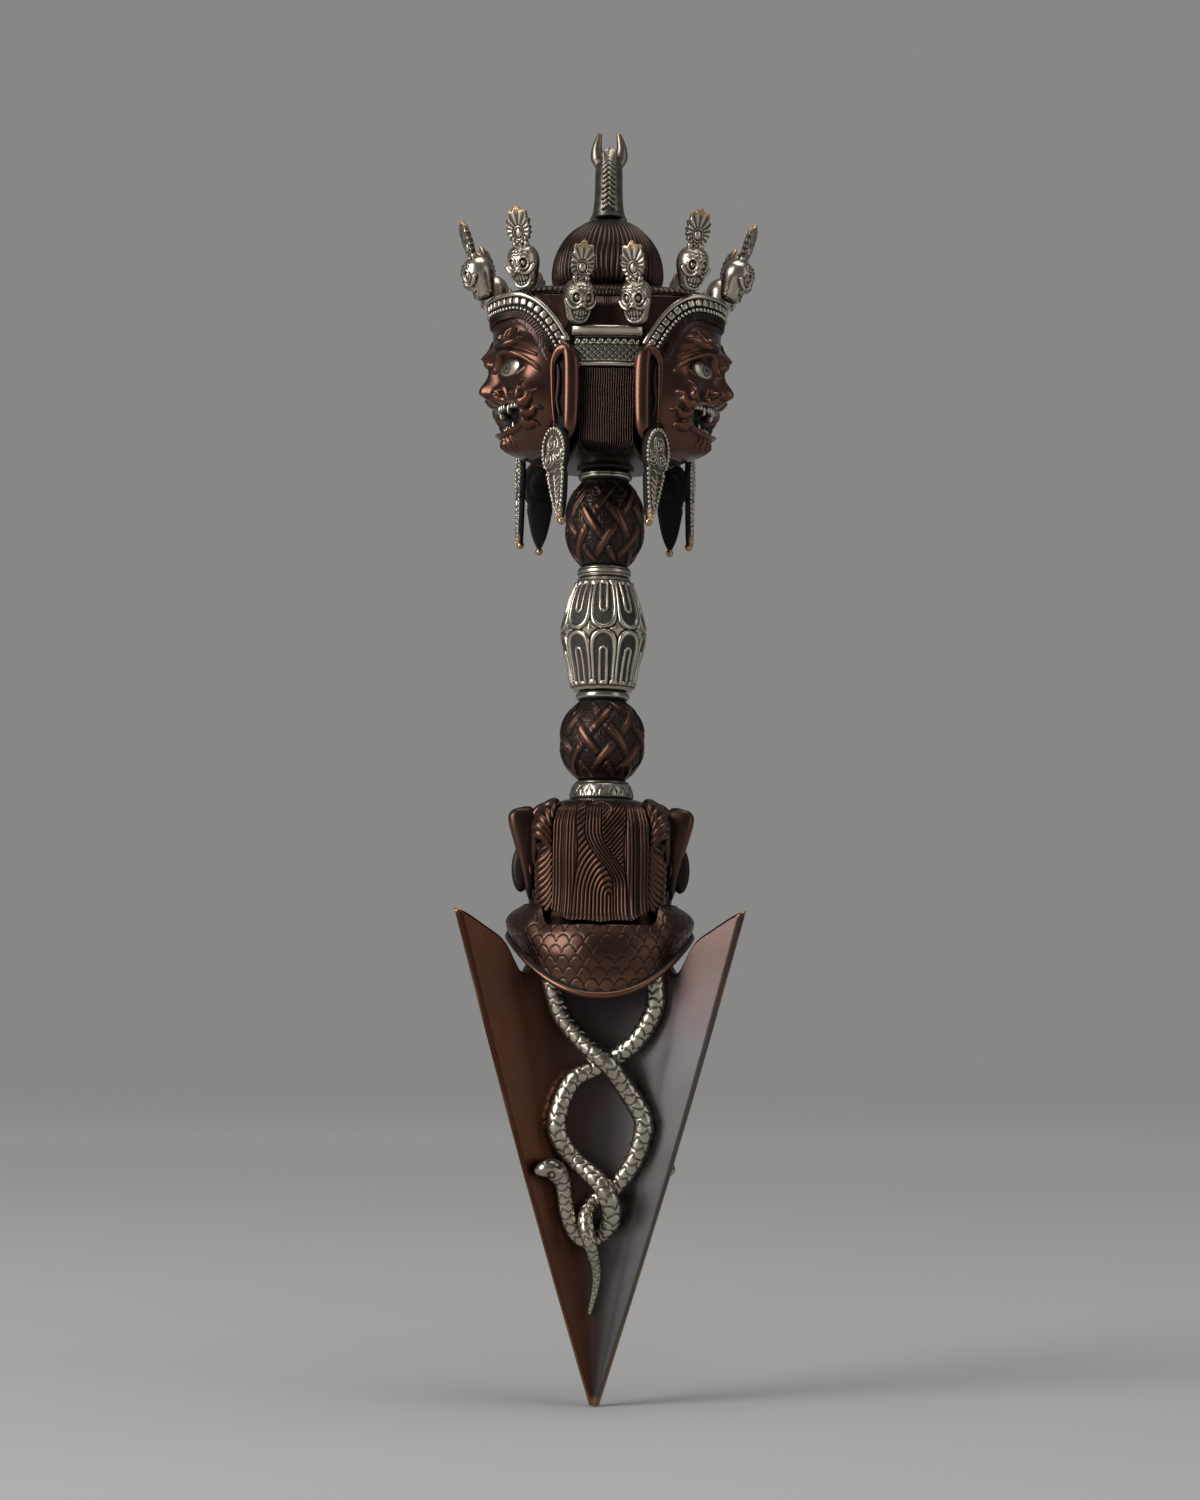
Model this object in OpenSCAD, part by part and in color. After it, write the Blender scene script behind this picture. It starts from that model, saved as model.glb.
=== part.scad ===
// Phurba: a three-finned ritual dagger of copper and silver, standing on its point along Z.
// Angles around the axis are counted from the back of the dagger, which looks along -Y.

/* [Blade] */
// Height of the fin corners above the point
fin_height = 132; // [115:1:145]
// Distance from the axis to a fin corner
fin_reach = 44.6; // [36:0.5:50]
// Half thickness of a fin at its edge
fin_edge = 0.9; // [0.6:0.1:1.4]
// Radius of the blade between its fins, at the mouth
blade_core = 9.6; // [8:0.2:11]
// Width of the blunt point
point_width = 2.8; // [2:0.1:4]

/* [Snakes] */
// Diameter of a snake's body
snake_d = 5.2; // [4:0.1:6]

/* [Makara] */
// Height of the sea monster's head, from the mouth's roof to the collar
makara_height = 38.8; // [35:0.2:44]
// Radius of the lower jaw's lip
jaw_radius = 25.4; // [24:0.2:28]
// Wall of the lower jaw
jaw_wall = 2.8; // [2:0.1:3.2]
// Drop of the lip below the roof of the mouth, at the back
jaw_drop = 15.4; // [12:0.2:18]

/* [Grip] */
// Height of the engraved collar
collar_height = 5.4; // [4:0.1:8]
// Diameter of the lower knot
lower_knot_d = 23.8; // [20:0.2:26]
// Height of the lower knot
lower_knot_height = 21.9; // [18:0.2:24]
// Height of the ring under the baluster
lower_ring_height = 2.5; // [2:0.1:5]
// Height of the baluster
baluster_height = 31.2; // [24:0.2:36]
// Largest diameter of the baluster
baluster_d = 23.2; // [20:0.2:26]
// Height of the ring over the baluster
upper_ring_height = 3.4; // [2:0.1:5]
// Diameter of the upper knot
upper_knot_d = 22.4; // [19:0.2:25]
// Height of the upper knot
upper_knot_height = 23.8; // [19:0.2:25]
// Height of the ring at the neck
neck_ring_height = 2.6; // [1.5:0.1:4]
// Diameter of the rings
ring_d = 14.8; // [13:0.2:17]
// Diameter of the rod that holds the pieces together
rod_d = 5; // [4:0.1:6]

/* [Heads] */
// Height of a face, chin to hair
face_height = 42.4; // [38:0.2:45]
// Distance from the axis to the middle of a head
head_offset = 14; // [13.5:0.1:16]
// Half width of a face at the cheeks
face_half_width = 16.6; // [15:0.1:17.5]
// Depth of a face, from its middle to the brow
face_depth = 17.6; // [15:0.1:20]
// How far the third head stands in front of the other two
main_head_step = 4; // [4:0.1:6]
// Turn of a side head away from the back
side_head_turn = 75; // [72:1:80]
// Thickness of a crown band
band_thickness = 1.5; // [1:0.1:2]
// Width of a crown band
band_width = 6.6; // [5:0.1:8]
// Diameter of the hair bun
bun_d = 31; // [26:0.5:34]
// Height of the hair bun
bun_height = 21.4; // [17:0.2:23]
// Height of the horse head on top
horse_height = 26.2; // [18:0.2:28]

/* [Crown] */
// Distance of the skulls from the middle of their head
skull_out = 20.4; // [20:0.2:22]
// Width of a skull
skull_w = 8.8; // [7:0.1:9]
// Height of a skull's leaf
leaf_height = 10.4; // [8:0.2:13]

/* [Earrings] */
// Length of an earring
earring_length = 26; // [22:0.5:29]
// Width of an earring
earring_width = 10.4; // [8:0.2:12]
// Thickness of an earring's plate
earring_plate = 1.4; // [1:0.1:2]

/* [Fits] */
// Gap between pieces that are soldered or set
seat_gap = 0.25; // [0.1:0.05:0.3]
// Gap between the rod and its bores
rod_gap = 0.05; // [0.02:0.01:0.1]

/* [Hidden] */
$fn = 48;
copper = [0.36, 0.17, 0.11];
dark_copper = [0.24, 0.13, 0.1];
silver = [0.72, 0.71, 0.67];
hair_brown = [0.17, 0.12, 0.11];
iron = [0.35, 0.34, 0.33];

// Levels up the axis
roof_z = fin_height - 8.6;
collar_z = roof_z + seat_gap + makara_height;
lower_knot_z = collar_z + collar_height;
lower_ring_z = lower_knot_z + lower_knot_height;
baluster_z = lower_ring_z + lower_ring_height;
upper_ring_z = baluster_z + baluster_height;
upper_knot_z = upper_ring_z + upper_ring_height;
neck_ring_z = upper_knot_z + upper_knot_height;
head_z = neck_ring_z + neck_ring_height;
chin_rise = 2.4;
chin_z = head_z + chin_rise;
// Heights on a head are drawn for a face of 40 and scaled by this
face_k = face_height / 40;
hairline_z = chin_z + face_height;
cap_height = 4.6;
bun_z = hairline_z + seat_gap + cap_height;
horse_z = bun_z + bun_height;

fin_turns = [60, 180, 300];
flute_turns = [0, 120, 240];
head_turns = [-side_head_turn, side_head_turn, 180];
head_steps = [0, 0, main_head_step];

function mix(a, b, t) = a + (b - a) * t;
function clamp01(t) = min(1, max(0, t));
function ease(t) = clamp01(t) * clamp01(t) * (3 - 2 * clamp01(t));
function bell(d, w) = exp(-d * d / (w * w));
function skew_bell(d, above, below) = bell(d, d > 0 ? above : below);
function flat(lists) = [for (list = lists) for (item = list) item];
function turned(p, a) = [p.x * cos(a) - p.y * sin(a), p.x * sin(a) + p.y * cos(a), p.z];
function unit(v) = v / norm(v);

// Value at t of the line through a list of [t, value] pairs in rising order
function along(table, t) = lookup(t, table);

// A closed solid through rings that all have the same number of points
module loft(rings) {
    count = len(rings[0]);
    last = len(rings) - 1;
    low = [for (i = [0:2]) mean([for (p = rings[0]) p[i]])];
    high = [for (i = [0:2]) mean([for (p = rings[last]) p[i]])];
    points = concat(flat(rings), [low, high]);
    low_at = len(points) - 2;
    high_at = len(points) - 1;
    sides = [
        for (r = [0:last - 1]) for (c = [0:count - 1])
            let (a = r * count + c, b = r * count + (c + 1) % count)
            each [[a, a + count, b], [b, a + count, b + count]]
    ];
    floor_fan = [for (c = [0:count - 1]) [low_at, c, (c + 1) % count]];
    roof_fan = [for (c = [0:count - 1]) [high_at, last * count + (c + 1) % count, last * count + c]];
    polyhedron(points, concat(sides, floor_fan, roof_fan), convexity = 6);
}

function total(list, i = 0) = i < len(list) ? list[i] + total(list, i + 1) : 0;
function mean(list) = total(list) / len(list);

// A tube along points that lie near a plane whose normal is up_dir
module tube(path, radii, sides, up_dir) {
    last = len(path) - 1;
    loft([for (i = [0:last])
        let (
            ahead = unit(path[min(last, i + 1)] - path[max(0, i - 1)]),
            side = unit(cross(ahead, up_dir)),
            up = cross(side, ahead)
        )
        [for (k = [0:sides - 1])
            path[i] + radii[i] * (cos(k * 360 / sides) * side - sin(k * 360 / sides) * up)]
    ]);
}

// One point of a smooth curve through four neighbours
function curve_point(a, b, c, d, t) =
    0.5 * (2 * b + (c - a) * t + (2 * a - 5 * b + 4 * c - d) * t * t + (3 * b - a - 3 * c + d) * t * t * t);

function smooth_path(points, steps) =
    let (last = len(points) - 1)
    [for (i = [0:last - 1]) for (s = [0:steps - 1])
        curve_point(points[max(0, i - 1)], points[i], points[i + 1], points[min(last, i + 2)], s / steps),
     points[last]];

// Blade
blade_steps = 13;
flank_steps = 7;
flute_power = 3.3;
fin_bulge = 1;
mouth_floor_share = 0.58;
lip_notch = 8.8;
lip_notch_share = 0.54;
lip_notch_width = 0.09;

function fin_radius(v) = mix(point_width / 2, fin_reach, v) + fin_bulge * sin(180 * v);
function core_radius(v) = mix(point_width / 2.6, blade_core, pow(v, 0.8));
function edge_half(v) = mix(point_width / 3, fin_edge, clamp01(v * 4));

// Half thickness of a fin at distance s from the axis
function fin_half(s, v) =
    let (s0 = core_radius(v) / 2, h0 = core_radius(v) * sin(60))
    edge_half(v) * min(1, h0) + (h0 - edge_half(v) * min(1, h0))
        * pow(clamp01((fin_radius(v) - s) / (fin_radius(v) - s0)), flute_power);

// Height of a fin's upper edge at the share u of its reach
function fin_top(u) =
    mix(roof_z, fin_height, ease((u - mouth_floor_share) / (1.06 - mouth_floor_share)))
    - lip_notch * bell(u - lip_notch_share, lip_notch_width);

function flank_share(j) = pow(j / flank_steps, 1.15);

function flank_point(j, v, side, a) =
    let (
        s = mix(core_radius(v) / 2, fin_radius(v), flank_share(j)),
        z = v * fin_top(s / fin_radius(v))
    )
    turned([side * fin_half(s, v), -s, z], a);

// Ring order per fin: flute bottom, one flank out, the other flank back
function blade_ring(v) = flat([for (a = fin_turns)
    concat(
        [for (j = [0:flank_steps]) flank_point(j, v, -1, a)],
        [for (j = [flank_steps:-1:1]) flank_point(j, v, 1, a)]
    )]);

module blade_solid() {
    rings = [for (i = [0:blade_steps]) blade_ring(i / blade_steps)];
    count = len(rings[0]);
    per_fin = 2 * flank_steps + 1;
    points = concat(flat(rings), [[0, 0, 0], [0, 0, roof_z]]);
    low_at = len(points) - 2;
    high_at = len(points) - 1;
    top = blade_steps * count;
    sides = [
        for (r = [0:blade_steps - 1]) for (c = [0:count - 1])
            let (a = r * count + c, b = r * count + (c + 1) % count)
            each [[a, a + count, b], [b, a + count, b + count]]
    ];
    floor_fan = [for (c = [0:count - 1]) [low_at, c, (c + 1) % count]];
    roof_fan = [for (f = [0:2])
        let (
            first = top + f * per_fin,
            near = first + 1,
            far = first + per_fin - 1,
            next = top + ((f + 1) % 3) * per_fin
        )
        each [[high_at, near, first], [high_at, far, near], [high_at, next, far]]
    ];
    fin_tops = [for (f = [0:2]) for (j = [1:flank_steps - 1])
        let (
            a = top + f * per_fin + j,
            b = top + (f + 1) * per_fin - j
        )
        each [[a, b, a + 1], [a + 1, b, b - 1]]
    ];
    polyhedron(points, concat(sides, floor_fan, roof_fan, fin_tops), convexity = 8);
}

rod_depth = 14;
rod_end = 24;

module blade() {
    color(copper) difference() {
        blade_solid();
        translate([0, 0, roof_z - rod_depth]) cylinder(d = rod_d + 2 * rod_gap, h = rod_depth + 1);
    }
}

module tang_rod() {
    color(iron) translate([0, 0, roof_z - rod_depth + seat_gap])
        cylinder(d = rod_d, h = head_z + rod_end - roof_z + rod_depth - seat_gap);
}

// Collar, knots, rings and baluster, bored for the rod
module rod_bore(low, high) {
    translate([0, 0, low - 1]) cylinder(d = rod_d + 2 * rod_gap, h = high - low + 2);
}

module turned_piece(base_z, height, profile) {
    difference() {
        translate([0, 0, base_z]) rotate_extrude() polygon(concat([[0, 0]], profile, [[0, height]]));
        rod_bore(base_z, base_z + height);
    }
}

module grip_collar() {
    r = ring_d / 2;
    low = r + 1.4;
    color(silver) turned_piece(collar_z, collar_height - seat_gap, [
        for (i = [0:8]) [r - 1 + (low - r + 1) * cos(i * 11.25), (collar_height - seat_gap) * sin(i * 11.25)]
    ]);
}

module ring(base_z, height) {
    r = ring_d / 2;
    lip = height / 3;
    color(silver) turned_piece(base_z, height - seat_gap, [
        [r - 0.8, 0], [r, lip * 0.5], [r, lip * 2.2], [r - 0.8, height - seat_gap]
    ]);
}

strap_w = 2;
strap_rise = 0.6;
knot_rows = [-52, -26, 0, 26, 52];
knot_columns = 8;

knot_end = 6.4;
egg_steps = 12;

// An egg shape whose flat straps cross over it and leave sunken diamonds between them
module knot(base_z, height, d) {
    h = height - seat_gap;
    r = d / 2;
    b = h / 2 / sqrt(1 - pow(knot_end / r, 2));
    difference() {
        translate([0, 0, base_z + h / 2]) difference() {
            rotate_extrude() polygon(concat([[0, -h / 2]], [for (i = [-egg_steps:egg_steps])
                let (z = h / 2 * sin(i * 90 / egg_steps)) [r * sqrt(1 - pow(z / b, 2)), z]], [[0, h / 2]]));
            for (row = [0:len(knot_rows) - 1]) {
                lift = knot_rows[row];
                out = 1 / sqrt(pow(cos(lift) / r, 2) + pow(sin(lift) / b, 2));
                wide = PI * r * cos(lift) / knot_columns - strap_w * 0.65;
                tall = PI * r * (knot_rows[1] - knot_rows[0]) / 180 - strap_w * 0.75;
                for (column = [0:knot_columns - 1]) {
                    turn = (column + row % 2 / 2) * 360 / knot_columns;
                    rotate([0, 0, turn]) rotate([-lift, 0, 0]) translate([0, strap_rise - out, 0])
                        rotate([90, 0, 0]) linear_extrude(height = 3)
                            polygon([[wide, 0], [0, tall], [-wide, 0], [0, -tall]]);
                }
            }
        }
        rod_bore(base_z, base_z + h);
    }
}

module lower_knot() {
    color(copper) knot(lower_knot_z, lower_knot_height, lower_knot_d);
}

module upper_knot() {
    color(copper) knot(upper_knot_z, upper_knot_height, upper_knot_d);
}

module baluster() {
    h = baluster_height - seat_gap;
    r = baluster_d / 2;
    color(silver) turned_piece(baluster_z, h, [
        [r * 0.7, 0], [r * 0.74, 1], [r * 0.84, h * 0.2], [r * 0.95, h * 0.36], [r, h * 0.46],
        [r, h * 0.56], [r * 0.94, h * 0.68], [r * 0.8, h * 0.86], [r * 0.68, h - 1.2], [r * 0.64, h]
    ]);
}

// Sea monster's head, which holds the blade in its mouth

head_sectors = 44;
makara_z = roof_z + seat_gap;

// Radius of the head without its features, by share of its height
makara_profile = [
    [0, 22], [0.08, 22], [0.12, 20.6], [0.17, 19.2], [0.22, 19], [0.3, 19.1], [0.7, 19.2], [0.85, 18.4],
    [0.93, 16.4], [0.97, 13.8], [1, 10.2]
];
muzzle_reach = 13;
muzzle_turn = 30;

function makara_features(a, k) =
    let (front = 180 - abs(a))
    muzzle_reach * bell(front, muzzle_turn) * skew_bell(k - 0.22, 0.24, 0.12)
    + 2.4 * bell(front, 24) * bell(k - 0.62, 0.1)
    + 4.4 * bell(front - 40, 13) * bell(k - 0.56, 0.1)
    + 2.6 * bell(front - 38, 17) * bell(k - 0.76, 0.06)
    + 2.2 * bell(front - 62, 14) * bell(k - 0.3, 0.16)
    - 1.6 * bell(front - 60, 8) * bell(k - 0.62, 0.2)
    + 1.4 * bell(abs(a) - 52, 6) * bell(k - 0.45, 0.3)
    + 1.8 * bell(abs(a) - 50, 9) * bell(k - 0.8, 0.12);

function makara_r(a, k) =
    min(jaw_radius - jaw_wall - seat_gap - 0.2 + max(0, (abs(a) - 99) * 0.5) + max(0, k - 0.27) * 60,
        along(makara_profile, k) + makara_features(a, k));

function polar(a, r, z) = [r * sin(a), -r * cos(a), z];

makara_rings = 16;

module makara_head() {
    color(copper) difference() {
        loft([for (i = [0:makara_rings])
            let (k = i / makara_rings)
            [for (j = [0:head_sectors - 1])
                let (a = j * 360 / head_sectors - 180)
                polar(a, makara_r(a, k), makara_z + k * (makara_height - seat_gap))]
        ]);
        rod_bore(makara_z, makara_z + makara_height);
    }
}

// Lower jaw: a scaled skirt that hangs round the back of the mouth
jaw_turn = 94;
jaw_height = 4;
jaw_side_rise = 3;
jaw_side_roll = 1.2;
jaw_stations = 28;

// The jaw climbs beside the mane and rolls in over the head
function beside_mane(a) = ease((abs(a) - 36) / 16);

function lip_z(a) = makara_z - jaw_drop + (jaw_drop + 0.9) * pow(sin(abs(a) * 90 / jaw_turn), 2.1);

function jaw_section(a) =
    let (
        low = lip_z(a),
        high = makara_z + jaw_height + jaw_side_rise * beside_mane(a),
        roll = jaw_side_roll * beside_mane(a),
        inner = jaw_radius - jaw_wall,
        belly = jaw_radius + 0.5
    )
    [polar(a, inner - roll, high), polar(a, inner, mix(high, low, 0.45)),
     polar(a, inner, low + 2.5), polar(a, inner + 0.2, low),
     polar(a, jaw_radius + 0.2, low - 0.4), polar(a, jaw_radius + 0.3, low + 1.1),
     polar(a, jaw_radius - 0.7, low + 1.8),
     polar(a, mix(jaw_radius - 0.7, belly, 0.6), mix(low, high, 0.35)),
     polar(a, belly, mix(low, high, 0.55)),
     polar(a, mix(inner, belly, 0.8) - roll * 0.3, mix(low, high, 0.82)),
     polar(a, mix(inner, belly, 0.35) - roll, high)];

module makara_jaw() {
    color(copper) loft([for (i = [0:jaw_stations]) jaw_section(mix(jaw_turn, -jaw_turn, i / jaw_stations))]);
}

// Mane: a combed panel down the back of the head
mane_turn = 38;
mane_thick = 2;
mane_strands = 9;
mane_low = (jaw_height + 2 * seat_gap) / makara_height;
mane_levels = concat([mane_low], [for (i = [2:makara_rings - 1]) i / makara_rings], [0.97]);

function mane_outer(a, k) =
    makara_r(a, k) + seat_gap + mane_thick * (1 - 0.5 * pow(abs(a) / mane_turn, 4))
    + 0.35 * cos(a * 360 * mane_strands / (2 * mane_turn)) + 1.3 * bell(k - mane_low, 0.16);

function mane_point(a, k, r) = polar(a, r, makara_z + k * (makara_height - seat_gap));

module makara_mane() {
    steps = mane_strands * 2;
    color(dark_copper) loft([for (k = mane_levels)
        concat(
            [for (j = [0:steps]) let (a = mix(-mane_turn, mane_turn, j / steps))
                mane_point(a, k, mane_outer(a, k))],
            [for (j = [steps:-3:0]) let (a = mix(-mane_turn, mane_turn, j / steps))
                mane_point(a, k, makara_r(a, k) + seat_gap)]
        )
    ]);
}

// Trunk curled up over the muzzle
trunk_points = [
    [0, 32.4, 9], [0, 35.4, 10], [0, 38.6, 13.4], [0, 39, 18], [0, 36.6, 21.4], [0, 33.2, 21.4],
    [0, 32, 18.6]
];
trunk_radii = [4.6, 4.2, 3.6, 3.1, 2.6, 2.1, 1.4];

module makara_trunk() {
    path = smooth_path([for (p = trunk_points) p + [0, 0, makara_z]], 2);
    last = len(path) - 1;
    radii = [for (i = [0:last]) let (t = i / last * (len(trunk_radii) - 1))
        lookup(t, [for (n = [0:len(trunk_radii) - 1]) [n, trunk_radii[n]]])];
    color(copper) tube(path, radii, 8, [1, 0, 0]);
}

fang_h = 7;
fang_turns = [128, 146, 214, 232];

module makara_fangs() {
    color(silver) for (a = fang_turns)
        rotate([0, 0, a]) translate([0, -24.1, makara_z + 3]) rotate([-8, 0, 0])
            mirror([0, 0, 1]) cylinder(r1 = 1.5, r2 = 0.3, h = fang_h);
}

eye_turns = [140, 220];

module makara_eyes() {
    color(silver) for (a = eye_turns)
        rotate([0, 0, a]) translate([0, -26.8, makara_z + makara_height * 0.56]) sphere(r = 2.4);
}

// Cupped ears flare out towards their tops at both sides
ear_outline = [
    [0, 0], [1, 2.4], [2.2, 6], [3.1, 9], [4.2, 9.8], [4.4, 12], [4.6, 15.5], [5.5, 20],
    [6.1, 23], [5.8, 24.4], [4.8, 25.2], [3, 25.4], [0.4, 24.6], [0, 20]
];
ear_turns = [-78, 78];
ear_foot_r = 20;
ear_foot_k = 0.29;
ear_thick = 5;

module makara_ears() {
    color(copper) for (a = ear_turns)
        rotate([0, 0, a]) translate([0, -ear_foot_r, makara_z + makara_height * ear_foot_k])
            rotate([90, 0, -90]) linear_extrude(height = ear_thick, center = true) polygon(ear_outline);
}

// Snakes, two in each flute. Routes are shares of the fins' reach and of their height,
// with the lift off the flute in body diameters.

tail_route = [
    [-0.31, 0.875, 0], [-0.29, 0.855, 0], [-0.22, 0.785, 0.2], [-0.07, 0.725, 0.75], [0.055, 0.69, 1.05],
    [0.145, 0.65, 0.6], [0.26, 0.59, 0.1], [0.27, 0.55, 0], [0.21, 0.49, 0], [0.1, 0.44, 0],
    [-0.02, 0.41, 0.1], [-0.065, 0.375, 0.7], [-0.035, 0.33, 0.95], [0, 0.28, 0.3], [0, 0.24, 0],
    [-0.035, 0.185, 0]
];
head_route = [
    [0.33, 0.87, 0], [0.335, 0.85, 0], [0.33, 0.8, 0], [0.22, 0.735, 0.05], [0.045, 0.69, 0],
    [-0.135, 0.66, 0], [-0.225, 0.6, 0], [-0.235, 0.55, 0], [-0.145, 0.5, 0.1], [-0.01, 0.46, 0.7],
    [0.075, 0.42, 0.95], [0.085, 0.375, 0.5], [0.02, 0.345, 0], [-0.07, 0.335, 0], [-0.14, 0.36, 0],
    [-0.18, 0.4, 0.1], [-0.2, 0.45, 0.25], [-0.27, 0.478, 0.3], [-0.36, 0.472, 0.2]
];

// Distance of the flute's surface behind the X axis line, at x and height z
function flank_s(x, v, n) =
    n == 0 ? max(core_radius(v) / 2, x) :
    max(core_radius(v) / 2, (x + fin_half(flank_s(x, v, n - 1), v) / 2) / sin(60));

function flute_y(x, z) =
    let (v = clamp01(z / roof_z), s = flank_s(abs(x), v, 4))
    -s / 2 - fin_half(s, v) * sin(60);

// Where a round body of radius r rests on the flute
function rest_y(x, z, r) =
    min([for (i = [-3:3]) let (d = i * r / 3.2) flute_y(x + d, z) - sqrt(r * r - d * d)]);

function on_flute(p, r) =
    let (x = p[0] * fin_reach, z = p[1] * fin_height)
    [x, rest_y(x, z, r) - seat_gap - p[2] * snake_d, z];

snake_sides = 7;

module snake(route, radius_at, a) {
    fine = smooth_path(route, 2);
    last = len(fine) - 1;
    radii = [for (i = [0:last]) along(radius_at, i / last) * snake_d / 2];
    path = [for (i = [0:last]) on_flute(fine[i], radii[i])];
    color(silver) rotate([0, 0, a]) tube(path, radii, snake_sides, [0, -1, 0]);
}

tail_taper = [[0, 1], [0.6, 0.96], [0.75, 0.8], [0.9, 0.55], [1, 0.22]];
head_swell = [[0, 1], [0.8, 0.92], [0.9, 0.84], [0.93, 0.95], [0.96, 1.1], [0.99, 0.75], [1, 0.35]];

module tail_snake(i) {
    snake(tail_route, tail_taper, flute_turns[i]);
}

module head_snake(i) {
    snake(head_route, head_swell, flute_turns[i]);
}

// Heads

// Horizontal radius of a head from its middle, ahead and to the side, by height over the chin
ahead_profile = [
    [0, 0.5], [0.03, 0.66], [0.08, 0.76], [0.16, 0.82], [0.25, 0.86], [0.36, 0.92], [0.48, 0.98],
    [0.6, 1], [0.8, 1.02], [1, 1.02]
];
side_profile = [
    [0, 0.42], [0.03, 0.6], [0.08, 0.72], [0.16, 0.84], [0.25, 0.92], [0.36, 0.98], [0.5, 1.02],
    [0.7, 1.03], [0.85, 1.01], [1, 1]
];

function head_r(a, k) =
    let (f = face_depth * along(ahead_profile, k), w = face_half_width * along(side_profile, k))
    1 / sqrt(pow(cos(a) / f, 2) + pow(sin(a) / w, 2));

// An ear hangs straight down where the cheek behind it draws in
ear_hang = 13;

// Nose, brows, eyes, cheeks, mouth, chin and ears, as heights over the head
function face_features(a, z, ear) =
    let (s = abs(a))
    5.2 * bell(a, 8.5) * skew_bell(z - 16.2, 3.6, 1.9)
    + 1.4 * bell(a, 7) * bell(z - 22, 4)
    + 2.4 * bell(s - 13.5, 5.5) * bell(z - 15.6, 1.9)
    + 2.6 * bell(s - 24, 17) * skew_bell(z - 25.6 - s * 0.05, 2.2, 1.3)
    + 1.4 * bell(a, 9) * bell(z - 26.5, 2.4)
    + 1 * bell(s - 40, 12) * bell(z - 28, 2)
    - 2.3 * bell(s - 27, 12) * bell(z - 22.4, 2.1)
    + 1.5 * bell(s - 27, 9) * bell(z - 22.2, 1.6)
    + 2.2 * bell(s - 38, 13) * bell(z - 14.5, 3.6)
    + 1.6 * bell(s, 24) * bell(z - 12.4, 1.1)
    - 4.4 * bell(s, 26) * bell(z - 9.2, 2.2)
    + 1.9 * bell(s, 22) * bell(z - 6, 1.2)
    + 2.2 * bell(s, 15) * bell(z - 2.6, 1.8)
    + 1 * bell(s - 42, 6) * bell(z - 9, 4.5)
    + (ear + ear_hang * (1.02 - along(side_profile, z / 40))) * bell(s - 88, 5.5)
        * ease((z - 1) / 3) * ease((25.4 - z) / 2.4)
    - 1 * bell(s - 78, 4) * bell(z - 20, 6);

face_turn = 95;
face_columns = [
    -95, -91, -87, -82, -76, -68, -58, -48, -39, -31, -24, -18, -13, -8, -4, 0,
    4, 8, 13, 18, 24, 31, 39, 48, 58, 68, 76, 82, 87, 91, 95
];
face_rows = [
    0, 1.2, 2.6, 4, 5.2, 6.2, 7.2, 8.2, 9.4, 10.6, 11.6, 12.6, 14, 15.2, 16.4, 17.8, 19.2, 20.6, 22, 23.4,
    25, 26.6, 28.4, 30.4, 33, 36.4, 40
];

// Ears that meet at the front stand out less than the pair at the back
ear_back = 5.2;
ear_front = 2.2;
ear_rises = [[ear_front, ear_back], [ear_back, ear_front], [ear_front, ear_front]];

function face_r(a, z, i) = head_r(a, z / 40) + face_features(a, z, ear_rises[i][a > 0 ? 1 : 0]);

function face_point(a, z, i) =
    let (r = face_r(a, z, i))
    [r * sin(a), -head_offset - head_steps[i] - r * cos(a), chin_z + z * face_k];

module face(i) {
    color(copper) rotate([0, 0, head_turns[i]])
        loft([for (z = face_rows) [for (a = face_columns) face_point(a, z, i)]]);
}

eye_turn = 27;
eye_height = 22.2;
lens_r = 4;
lens_rise = 0.9;

module face_eyes(i) {
    r = face_r(eye_turn, eye_height, i);
    color(silver) rotate([0, 0, head_turns[i]]) for (side = [-1, 1])
        translate([0, -head_offset - head_steps[i], chin_z + eye_height * face_k])
            rotate([0, 0, side * eye_turn]) translate([0, -r - seat_gap, 0])
                intersection() {
                    translate([0, lens_r - lens_rise, 0]) sphere(r = lens_r, $fn = 120);
                    translate([-lens_r, -lens_r, -1.5]) cube([2 * lens_r, lens_r, 3]);
                }
}

tooth_r = 0.85;
tooth_h = 1.8;
tooth_turns = [-18, -12, -6, 0, 6, 12, 18];
fang_turn = 18;

module face_teeth(i) {
    low = 9.6;
    color(silver) rotate([0, 0, head_turns[i]])
        translate([0, -head_offset - head_steps[i], chin_z + low * face_k])
            for (a = tooth_turns) {
                r = max([for (z = [low - 0.4:0.5:low + tooth_h + 0.4]) face_r(a, z, i)]);
                h = abs(a) == fang_turn ? tooth_h : tooth_h * 0.8;
                rotate([0, 0, a]) translate([0, -r - seat_gap - tooth_r, 0])
                    cylinder(r1 = tooth_r * 0.7, r2 = tooth_r, h = h);
            }
}

// Core behind the faces, with combed hair down the back

core_seat = head_offset + face_half_width * cos(face_turn) - 0.35;
nape_y = 19.4;
panel_half = 7.1;
// The dished underside
dish_r = 26;
dish_z = 1;
dish_rise = 5.2;

module beyond(a, d) {
    rotate([0, 0, a]) translate([-50, -d]) square([100, 100]);
}

module core_outline() {
    intersection() {
        beyond(head_turns[0], core_seat);
        beyond(head_turns[1], core_seat);
        beyond(head_turns[2], core_seat + main_head_step);
        beyond(0, nape_y);
    }
}

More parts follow.
